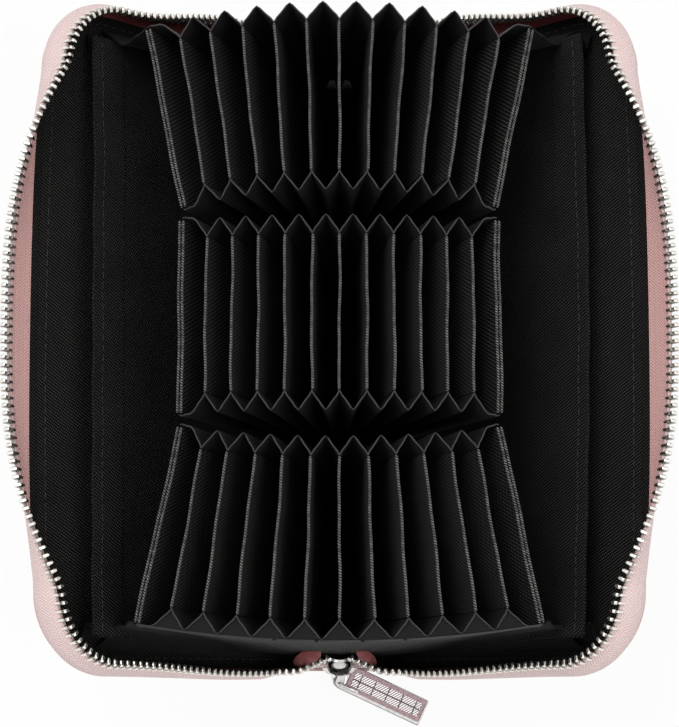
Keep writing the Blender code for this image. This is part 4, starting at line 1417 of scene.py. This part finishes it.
class WALLET_OT_zip_ends(bpy.types.Operator):
    """Loose ends of the zip beside the spine, with their last teeth, stops and turned-in tabs"""

    bl_idname = "wallet.zip_ends"
    bl_label = "Zip Ends"

    EARS = {
        "left": ((0.0102, -0.0978, 0.0180), (-0.0043, 0.0017, 0.0030), (0.00085, 0.0020, 0.0022)),
        "right": ((0.0085, -0.0976, 0.0180), (-0.0031, 0.0022, 0.0040), (0.00090, 0.0015, 0.0015)),
    }

    def execute(self, context):
        sizes = context.scene.wallet_sizes
        for end, end_word in ENDS:
            outward = np.array([0.0, end, 0.0])
            inner_face = "Ribbed Wall Cloth" if end < 0 else "Inner Zip Tape"
            for side, word in SIDES:
                edge, line = zip_end_line(side, end)
                share = np.linspace(0, 1, len(edge))[:, None]
                bulge = sizes.tape_bulge * (1 - ease(share * 2.0)) * 0.9 + 0.0003
                grid = tape_section(edge, outward, (line - edge) / TAPE_WIDTH, bulge, 7)
                surface = Surface(f"zip_end_tape_{end_word}_{word}")
                for slot, offset in enumerate((TAPE_LAYER_OFFSET, -TAPE_LAYER_OFFSET)):
                    layer = grid + outward * offset
                    surface.sheet(faced(layer, side * end > 0), TAPE_LAYER, slot=slot)
                surface.tube(line, np.array([0.0, 1.0, 0.0]), CORD_RADIUS["tape_end"])
                way = unit(line - edge)
                place_teeth(surface, line + way * TOOTH_REACH, way, slot=2)
                piece = surface.finish(["Outer Zip Tape", inner_face, "Nickel Zip Teeth"])
                fold = np.array([side * FOLD_X, end * HALF_LENGTH, FOLD_Z])
                start = (edge[-1] + line[-1]) / 2
                start[0] += side * 0.003
                finish = (edge[0] + line[0]) / 2
                finish -= (finish - fold) * 0.15
                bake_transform(piece)
                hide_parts(f"zip_end_{end_word}")
            self.stop(end, end_word)
        self.tabs()
        return {"FINISHED"}

    def stop(self, end, end_word):
        """Metal stop: a rounded block over both tape ends."""
        y, z = zip_end_line(1, end)[1][-1, 1:]
        rim, middle = (0.0008, 0.0016), (0.0012, 0.0022)
        stations = [(-0.0022, *rim), (-0.0019, *middle), (0.0019, *middle), (0.0022, *rim)]
        surface = Surface(f"zip_stop_{end_word}")
        surface.copies(lofted(stations, 12, 4.0), [(0, y, z - 0.0036)], np.eye(3)[None])
        piece = surface.finish(["Nickel Zip Teeth"], "spine")
        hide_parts(f"zip_end_{end_word}")

    def tabs(self):
        """Turned-in tape ends beside the slider: each is a rounded ear that lies inside the zip.

        A square of two shares is rounded to an oval, then laid along the ear's length and width.
        """
        u = np.linspace(-1, 1, 17)[:, None]
        v = np.linspace(-1, 1, 13)[None]
        first = (u * np.sqrt(1 - v**2 * 0.45))[..., None]
        second = (v * np.sqrt(1 - u**2 * 0.55))[..., None]
        dome = (0.0005 * (1 - u**2) * (1 - v**2))[..., None] * np.array([0.0, -1.0, 1.0])
        for side, word in SIDES:
            middle, length, width = np.array(self.EARS[word])
            grid = (middle + first * length + second * width + dome) * np.array([side, 1.0, 1.0])
            surface = Surface(f"tape_tab_{word}")
            surface.sheet(faced(grid, side < 0), CLOTH["tab"])
            piece = surface.finish(["Red Tape Tab"], "spine")
            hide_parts("zip_end_near")


SLIDER_LOW, SLIDER_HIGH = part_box("slider_body")
SLIDER_SIZES = {"plate": 0.0009, "channel": 0.0031, "bridge_reach": 0.0028}


class WALLET_OT_slider(bpy.types.Operator):
    """Zip slider: two curved plates on a wedge, and the bridge that holds the ring"""

    bl_idname = "wallet.slider"
    bl_label = "Slider"

    def execute(self, context):
        surface = Surface("zip_slider")
        bottom, top = SLIDER_LOW[2], SLIDER_HIGH[2]
        inner_face = SLIDER_HIGH[1]
        outer_face = SLIDER_LOW[1] + SLIDER_SIZES["bridge_reach"]
        middle = (inner_face + outer_face) / 2 + 0.0015
        gap = SLIDER_SIZES["channel"] / 2 + SLIDER_SIZES["plate"] / 2
        for sign in (-1, 1):
            self.plate(surface, sign, middle, gap, bottom, top)
        self.wedge(surface, middle, gap, top)
        self.bridge(surface, middle - gap, outer_face - SLIDER_SIZES["bridge_reach"], (bottom + top) / 2)
        piece = surface.finish(["Polished Slider Metal"], "slider")
        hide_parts("slider_body")
        return {"FINISHED"}

    def plate(self, surface, sign, middle, gap, bottom, top):
        """Shield-shaped plate: wide shoulders, a narrow foot, and edges that turn in over the teeth."""
        v = np.linspace(0, 1, 18)[:, None]
        u = np.linspace(-1, 1, 19)[None]
        half = 0.0031 + 0.0021 * ease(v * 1.6)
        half = half * np.sqrt(np.maximum(1 - np.maximum((v - 0.86) / 0.20, 0) ** 2, 0.05))
        half = half * np.sqrt(np.maximum(1 - np.maximum((0.10 - v) / 0.13, 0) ** 2, 0.05))
        lip = 0.0010 * np.clip((np.abs(u) - 0.72) / 0.28, 0, 1) ** 2
        crown = 0.00035 * (1 - u**2) * np.sin(math.pi * v)
        dip = 0.0010 * np.cos(u * math.pi / 2) * ease((v - 0.75) / 0.25)
        y = middle + sign * (gap - lip + crown) - 0.0011 * (1 - u**2) * ease(v * 1.5) + 0.0004
        grid = joined_grid(u * half, y, bottom + (top - bottom) * v - dip)
        surface.sheet(faced(grid, sign > 0), SLIDER_SIZES["plate"] * 0.9)

    def wedge(self, surface, middle, gap, top):
        """Wedge between the plates: round in plan, thicker towards its crown."""
        stations = [
            (-0.0036, 0.0006, gap),
            (-0.0026, 0.0014, gap),
            (-0.0010, 0.0026, gap * 0.62),
            (-0.0004, 0.0020, gap * 0.55),
        ]
        turn = np.array([[[0, 1, 0], [0, 0, 1], [1, 0, 0]]], dtype=float)
        surface.copies(lofted(stations, 16, 2.2), [(0, middle, top - 0.0004)], turn)

    def bridge(self, surface, face, reach, z):
        """Bridge: half an ellipse that stands out from the outer plate."""
        angle = np.linspace(0, math.pi, 22)
        y = face - (face - reach - 0.0007) * np.sin(angle) ** 0.8
        path = joined_grid(0.0021 * np.cos(angle), y, z)
        surface.tube(path, np.array([0.0, 0.0, 1.0]), 0.00068, sides=10, flat=0.75)


PULL = {
    "shift": (-0.0002, 0.0031, -0.0005),
    "dip": math.radians(21.0),
    "start": -0.0040,
    "length": 0.0328,
    "half": 0.0044,
    "root": 0.0024,
    "neck": 0.0038,
    "thick": 0.0015,
    "corner": 0.0009,
    "recess": 0.00055,
    "field_x": -0.0004,
    "field_margin": 0.0008,
    "eye_middle": 0.0012,
    "eye_radius": 0.0019,
    "eye_wire": 0.00055,
    "ring_radius": 0.0033,
    "ring_wire": 0.00048,
}


def pull_frame():
    """The pull's directions at rest and the ring's middle, from its two joints."""
    ring = Vector(JOINTS["ring_swivel"]["pos_m"])
    centre = Vector(JOINTS["pull_swing"]["pos_m"])
    way = (centre - ring).normalized()
    side_way = Vector(JOINTS["pull_swing"]["axis"]).normalized()
    along = (way * math.cos(PULL["dip"]) - Vector((0, 0, math.sin(PULL["dip"])))).normalized()
    up = side_way.cross(along)
    return np.array(centre), np.array([side_way, along, up]).T, np.array(way)


class WALLET_OT_pull(bpy.types.Operator):
    """Ring and pull: a bevelled metal tag with an enamel border and a hatched field"""

    bl_idname = "wallet.pull"
    bl_label = "Pull"

    def execute(self, context):
        centre, axes, way = pull_frame()
        self.ring(centre, way)
        self.tag(centre + np.array(PULL["shift"]), axes)
        self.inlay(centre + np.array(PULL["shift"]), axes)
        return {"FINISHED"}

    def ring(self, centre, way):
        """Round wire ring in the upright plane of its way."""
        angle = np.linspace(0, 2 * math.pi, 48, endpoint=False)[:, None]
        upright = np.array([0, 0, 1.0])
        path = centre + PULL["ring_radius"] * (np.cos(angle) * way + np.sin(angle) * upright)
        surface = Surface("pull_ring_wire")
        surface.tube(path, np.cross(way, upright), PULL["ring_wire"], sides=12, closed=True)
        piece = surface.finish(["Polished Slider Metal"], "ring")
        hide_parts("pull_ring")

    def outline(self, inset):
        """The tag's outline at an inset: root, shoulders and square end, with rounded corners.

        Each corner is a quadratic curve between two points at the corner's size from it.
        """
        start, end = PULL["start"] + inset, PULL["start"] + PULL["length"] - inset
        half, root = PULL["half"] - inset, PULL["root"] - inset
        shoulder = PULL["start"] + inset * 0.3
        corners = np.array(
            [
                (-root, start),
                (root + 0.0012, start),
                (half, shoulder + 0.0022),
                (half, end),
                (-half, end),
                (-half, shoulder + 0.0062),
            ]
        )
        first = corners + unit(np.roll(corners, 1, axis=0) - corners) * PULL["corner"]
        last = corners + unit(np.roll(corners, -1, axis=0) - corners) * PULL["corner"]
        share = np.linspace(0, 1, 6)[:, None]
        curve = first[:, None] * (1 - share) ** 2 + 2 * corners[:, None] * share * (1 - share)
        return (curve + last[:, None] * share**2).reshape(-1, 2)

    def tag(self, centre, axes):
        """The tag is a stack of outlines: chamfered below and above, then a step down to its recess."""
        thick = PULL["thick"] / 2
        levels = [
            (0.0005, -thick),
            (0.0000, -thick + 0.0004),
            (0.0000, thick - 0.0005),
            (0.0002, thick - 0.0001),
            (0.0003, thick),
            (0.0007, thick),
        ]
        rings = [np.insert(self.outline(inset), 2, height, axis=1) for inset, height in levels]
        rings[-1][:, 0] += PULL["field_x"]
        for height in (thick, thick - PULL["recess"]):
            ring = rings[-1].copy()
            ring[:, 1] = np.maximum(ring[:, 1], PULL["start"] + PULL["neck"])
            ring[:, 2] = height
            rings.append(ring)
        body = np.stack(rings)
        count = body.shape[1]
        quads, caps = ring_faces(len(rings), count)
        surface = Surface("pull_tag_metal")
        surface.add(body @ axes.T + centre, body[..., :2], quads, caps=caps)
        eye = self.eye(count) @ axes.T + centre
        surface.tube(eye, axes[:, 2], PULL["eye_wire"], sides=10, closed=True)
        piece = surface.finish(["Brushed Pull Metal"], "pull", sharp=25.0)
        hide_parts("pull_tag")

    def eye(self, count):
        """Raised collar round the tag's eye: a circle."""
        angle = np.linspace(0, 2 * math.pi, count, endpoint=False)
        y = PULL["eye_middle"] + PULL["eye_radius"] * np.sin(angle)
        return joined_grid(PULL["eye_radius"] * np.cos(angle), y, 0.0)

    def inlay(self, centre, axes):
        """Enamel border in the recess, with the hatched field raised in it."""
        low = PULL["start"] + PULL["neck"] + 0.0004
        high = PULL["start"] + PULL["length"] - PULL["field_margin"]
        half = PULL["half"] - PULL["field_margin"]
        base = PULL["thick"] / 2 - 0.0005
        u = np.linspace(-1, 1, 14)[:, None]
        v = np.linspace(0, 1, 30)[None]
        crown = 0.00008 * (1 - u**2) * np.sin(math.pi * v)
        for name, inset, height, finish, slot in (
            ("pull_enamel", 0.0, 0.0004, "Mauve Enamel", "mauve_enamel"),
            ("pull_field", 0.0013, 0.00062, "Hatched Pull Field", "silver_metal"),
        ):
            x = (half - inset) * u + PULL["field_x"]
            y = low + inset + (high - low - 2 * inset) * v
            grid = joined_grid(x, y, base + height / 2 + crown)
            surface = Surface(name)
            surface.sheet(grid @ axes.T + centre, height, uvs=joined_grid(x, y))
            piece = surface.finish([finish], "pull")
            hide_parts("pull_inlay")


def seen_directly(graph):
    """1 where a camera, mirror or glass ray meets the surface, and 0 for light that lights others."""
    light = graph.node("LightPath")
    camera, mirror, glass = (
        graph.wire(light, f"Is {kind} Ray") for kind in ("Camera", "Glossy", "Transmission")
    )
    return camera.calc("MAXIMUM", mirror).calc("MAXIMUM", glass)


class WALLET_OT_stage(bpy.types.Operator):
    """Floor, studio lights, background and camera"""

    bl_idname = "wallet.stage"
    bl_label = "Stage"

    def execute(self, context):
        stage = context.scene.wallet_stage
        self.floor()
        self.world(stage)
        self.lights(stage)
        self.camera(stage)
        context.scene.view_settings.view_transform = "Standard"
        return {"FINISHED"}

    def floor(self):
        """Flat floor that is white where it is seen, and else a pale surface that takes light."""
        surface = Surface("studio_floor")
        x = np.linspace(-3, 3, 7)[:, None]
        surface.sheet(joined_grid(x, x.T, -0.0021), 0.004)
        piece = surface.finish(["Studio Floor"])
        tree = piece.data.materials[0].node_tree
        graph = Graph(tree)
        paint = graph.wire(tree.nodes["Principled BSDF"])
        glow = graph.wire(graph.node("Emission", {"Color": (1, 1, 1, 1), "Strength": 1.0}))
        mixed = graph.node("MixShader", {0: seen_directly(graph) * 0.93, 1: paint, 2: glow})
        graph.feed(tree.nodes["Material Output"].inputs["Surface"], graph.wire(mixed))

    def world(self, stage):
        world = bpy.data.worlds.new("Studio")
        bpy.context.scene.world = world
        world.use_nodes = True
        graph = Graph(world.node_tree)
        back = world.node_tree.nodes["Background"]
        graph.feed(back.inputs["Color"], (1, 1, 1, 1))
        graph.feed(back.inputs["Strength"], seen_directly(graph).ramp(0, 1, stage.sky, 1.0))

    def lights(self, stage):
        spots = (
            ("key_light", (-0.55, 0.55, 1.35), 0.9, stage.key),
            ("fill_light", (0.75, -0.45, 1.1), 0.8, stage.fill),
        )
        for name, place, size, power in spots:
            lamp = bpy.data.lights.new(name, "AREA")
            lamp.shape = "DISK"
            lamp.size = size
            lamp.energy = power
            holder = bpy.data.objects.new(name, lamp)
            holder.location = place
            holder.rotation_euler = (Vector((0, 0, 0.04)) - Vector(place)).to_track_quat("-Z", "Y").to_euler()
            bpy.context.scene.collection.objects.link(holder)

    def camera(self, stage):
        """The camera looks down at the aim point from the fitted distance and height."""
        lens = bpy.data.cameras.new("camera")
        lens.sensor_fit = "HORIZONTAL"
        lens.sensor_width = 36.0
        lens.lens = stage.focal_length
        lens.clip_start = 0.02
        lens.clip_end = 20.0
        holder = bpy.data.objects.new("camera", lens)
        bpy.context.scene.collection.objects.link(holder)
        aim = Vector((0, stage.aim_y, stage.aim_z))
        back = Vector((0, -math.cos(stage.camera_rise), math.sin(stage.camera_rise)))
        holder.location = aim + back * stage.camera_distance
        holder.rotation_euler = (math.pi / 2 - stage.camera_rise, 0, 0)
        bpy.context.scene.camera = holder


def tint(name, text, values):
    """A colour property given as linear red, green and blue."""
    kind = {"subtype": "COLOR", "size": 3, "min": 0, "max": 1}
    return FloatVectorProperty(name=name, description=text, default=values, **kind)


def length(name, text, value):
    """A length property in metres."""
    return FloatProperty(name=name, description=text, default=value, unit="LENGTH")


class WalletSizes(bpy.types.PropertyGroup):
    """Sizes of the dressed pieces that a user may change"""

    tooth_pitch: length("Tooth Pitch", "Distance between zip teeth", 0.0024)
    stitch_pitch: length("Stitch Pitch", "Distance between stitches", 0.0032)
    stitch_length: length("Stitch Length", "Length of one stitch", 0.0024)
    tape_bulge: length("Tape Bulge", "How far the zip tape swells past the cover's edge", 0.0045)
    cover_twist: length("Cover Twist", "Outward lean of a cover's far corner", 0.0023)


class WalletColours(bpy.types.PropertyGroup):
    """Colours of leather, cloth, tape and enamel"""

    leather: tint("Leather", "Colour of the leather shell", (0.80, 0.56, 0.53))
    tape_outer: tint("Outer Tape", "Colour of the zip tape's outer face", (0.94, 0.77, 0.75))
    # Inner Tape is a deeper pink than the outer face, as painted shade of the inward face.
    tape_inner: tint("Inner Tape", "Colour of the zip tape's inner face", (0.92, 0.56, 0.53))
    # Red Tape colours the tabs and is the painted shade at the inner tape's ends.
    tape_red: tint("Red Tape", "Colour of the tape at the wallet's ends", (0.25, 0.045, 0.045))
    # The light colours of the cloths below are painted highlight on the weave's ridges and ribs; the dark
    # ones fill the grooves.
    cloth_dark: tint("Dark Cloth", "Grooves of the black cloth", (0.0012, 0.0011, 0.0011))
    cloth_light: tint("Light Cloth", "Ridges of the black lining", (0.115, 0.108, 0.102))
    twill_light: tint("Twill Ridge", "Ridges of the dividers' twill", (0.17, 0.16, 0.15))
    gusset_dark: tint("Gusset Groove", "Grooves of the gussets' cloth", (0.0022, 0.0022, 0.0022))
    gusset_light: tint("Gusset Ridge", "Ridges of the gussets' cloth", (0.075, 0.071, 0.069))
    flap_dark: tint("Triangle Groove", "Grooves of the end triangles' cloth", (0.012, 0.011, 0.012))
    flap_light: tint("Triangle Ridge", "Ridges of the end triangles' cloth", (0.040, 0.037, 0.040))
    wall_dark: tint("Wall Groove", "Grooves of the end walls' ribbed cloth", (0.0016, 0.0015, 0.0015))
    wall_light: tint("Wall Ridge", "Ridges of the end walls' ribbed cloth", (0.060, 0.057, 0.054))
    # Edge Thread is the overcast strands' colour where the painted highlight lies; the painted shade between
    # them is near black.
    edge_thread: tint("Edge Thread", "Overcast thread of the dividers", (0.26, 0.25, 0.24))
    enamel: tint("Enamel", "Border of the pull", (0.43, 0.25, 0.27))


class WalletStage(bpy.types.PropertyGroup):
    """Camera and light"""

    camera_distance: length("Distance", "Camera to aim point", 0.520)
    camera_rise: FloatProperty(
        name="Rise", description="Angle above the horizon", default=math.radians(80.2), unit="ROTATION"
    )
    aim_y: length("Aim Y", "Aim point along the spine", -0.0155)
    aim_z: length("Aim Z", "Aim point's height", 0.088)
    focal_length: FloatProperty(name="Focal Length", description="Lens in millimetres", default=96.3)
    key: FloatProperty(name="Key", description="Power of the key light", default=9.0)
    fill: FloatProperty(name="Fill", description="Power of the fill light", default=4.0)
    sky: FloatProperty(name="Sky", description="Strength of the light from all round", default=0.55)


STEPS = (
    WALLET_OT_leather,
    WALLET_OT_lining,
    WALLET_OT_note_panels,
    WALLET_OT_base,
    WALLET_OT_dividers,
    WALLET_OT_gussets,
    WALLET_OT_end_walls,
    WALLET_OT_tapes,
    WALLET_OT_teeth,
    WALLET_OT_zip_ends,
    WALLET_OT_slider,
    WALLET_OT_pull,
    WALLET_OT_stage,
)


class WALLET_PT_panel(bpy.types.Panel):
    """Lists the wallet's build steps"""

    bl_idname = "WALLET_PT_panel"
    bl_label = "Wallet"
    bl_space_type = "VIEW_3D"
    bl_region_type = "UI"
    bl_category = "Wallet"

    def draw(self, context):
        column = self.layout.column()
        for step in STEPS:
            column.operator(step.bl_idname)


CLASSES = (WalletSizes, WalletColours, WalletStage, *STEPS, WALLET_PT_panel)


def register():
    for cls in CLASSES:
        bpy.utils.register_class(cls)
    bpy.types.Scene.wallet_sizes = PointerProperty(type=WalletSizes)
    bpy.types.Scene.wallet_colours = PointerProperty(type=WalletColours)
    bpy.types.Scene.wallet_stage = PointerProperty(type=WalletStage)


def unregister():
    del bpy.types.Scene.wallet_stage
    del bpy.types.Scene.wallet_colours
    del bpy.types.Scene.wallet_sizes
    for cls in reversed(CLASSES):
        bpy.utils.unregister_class(cls)


def main():
    register()
    for step in STEPS:
        group, name = step.bl_idname.split(".")
        getattr(getattr(bpy.ops, group), name)()


if __name__ == "__main__":
    main()
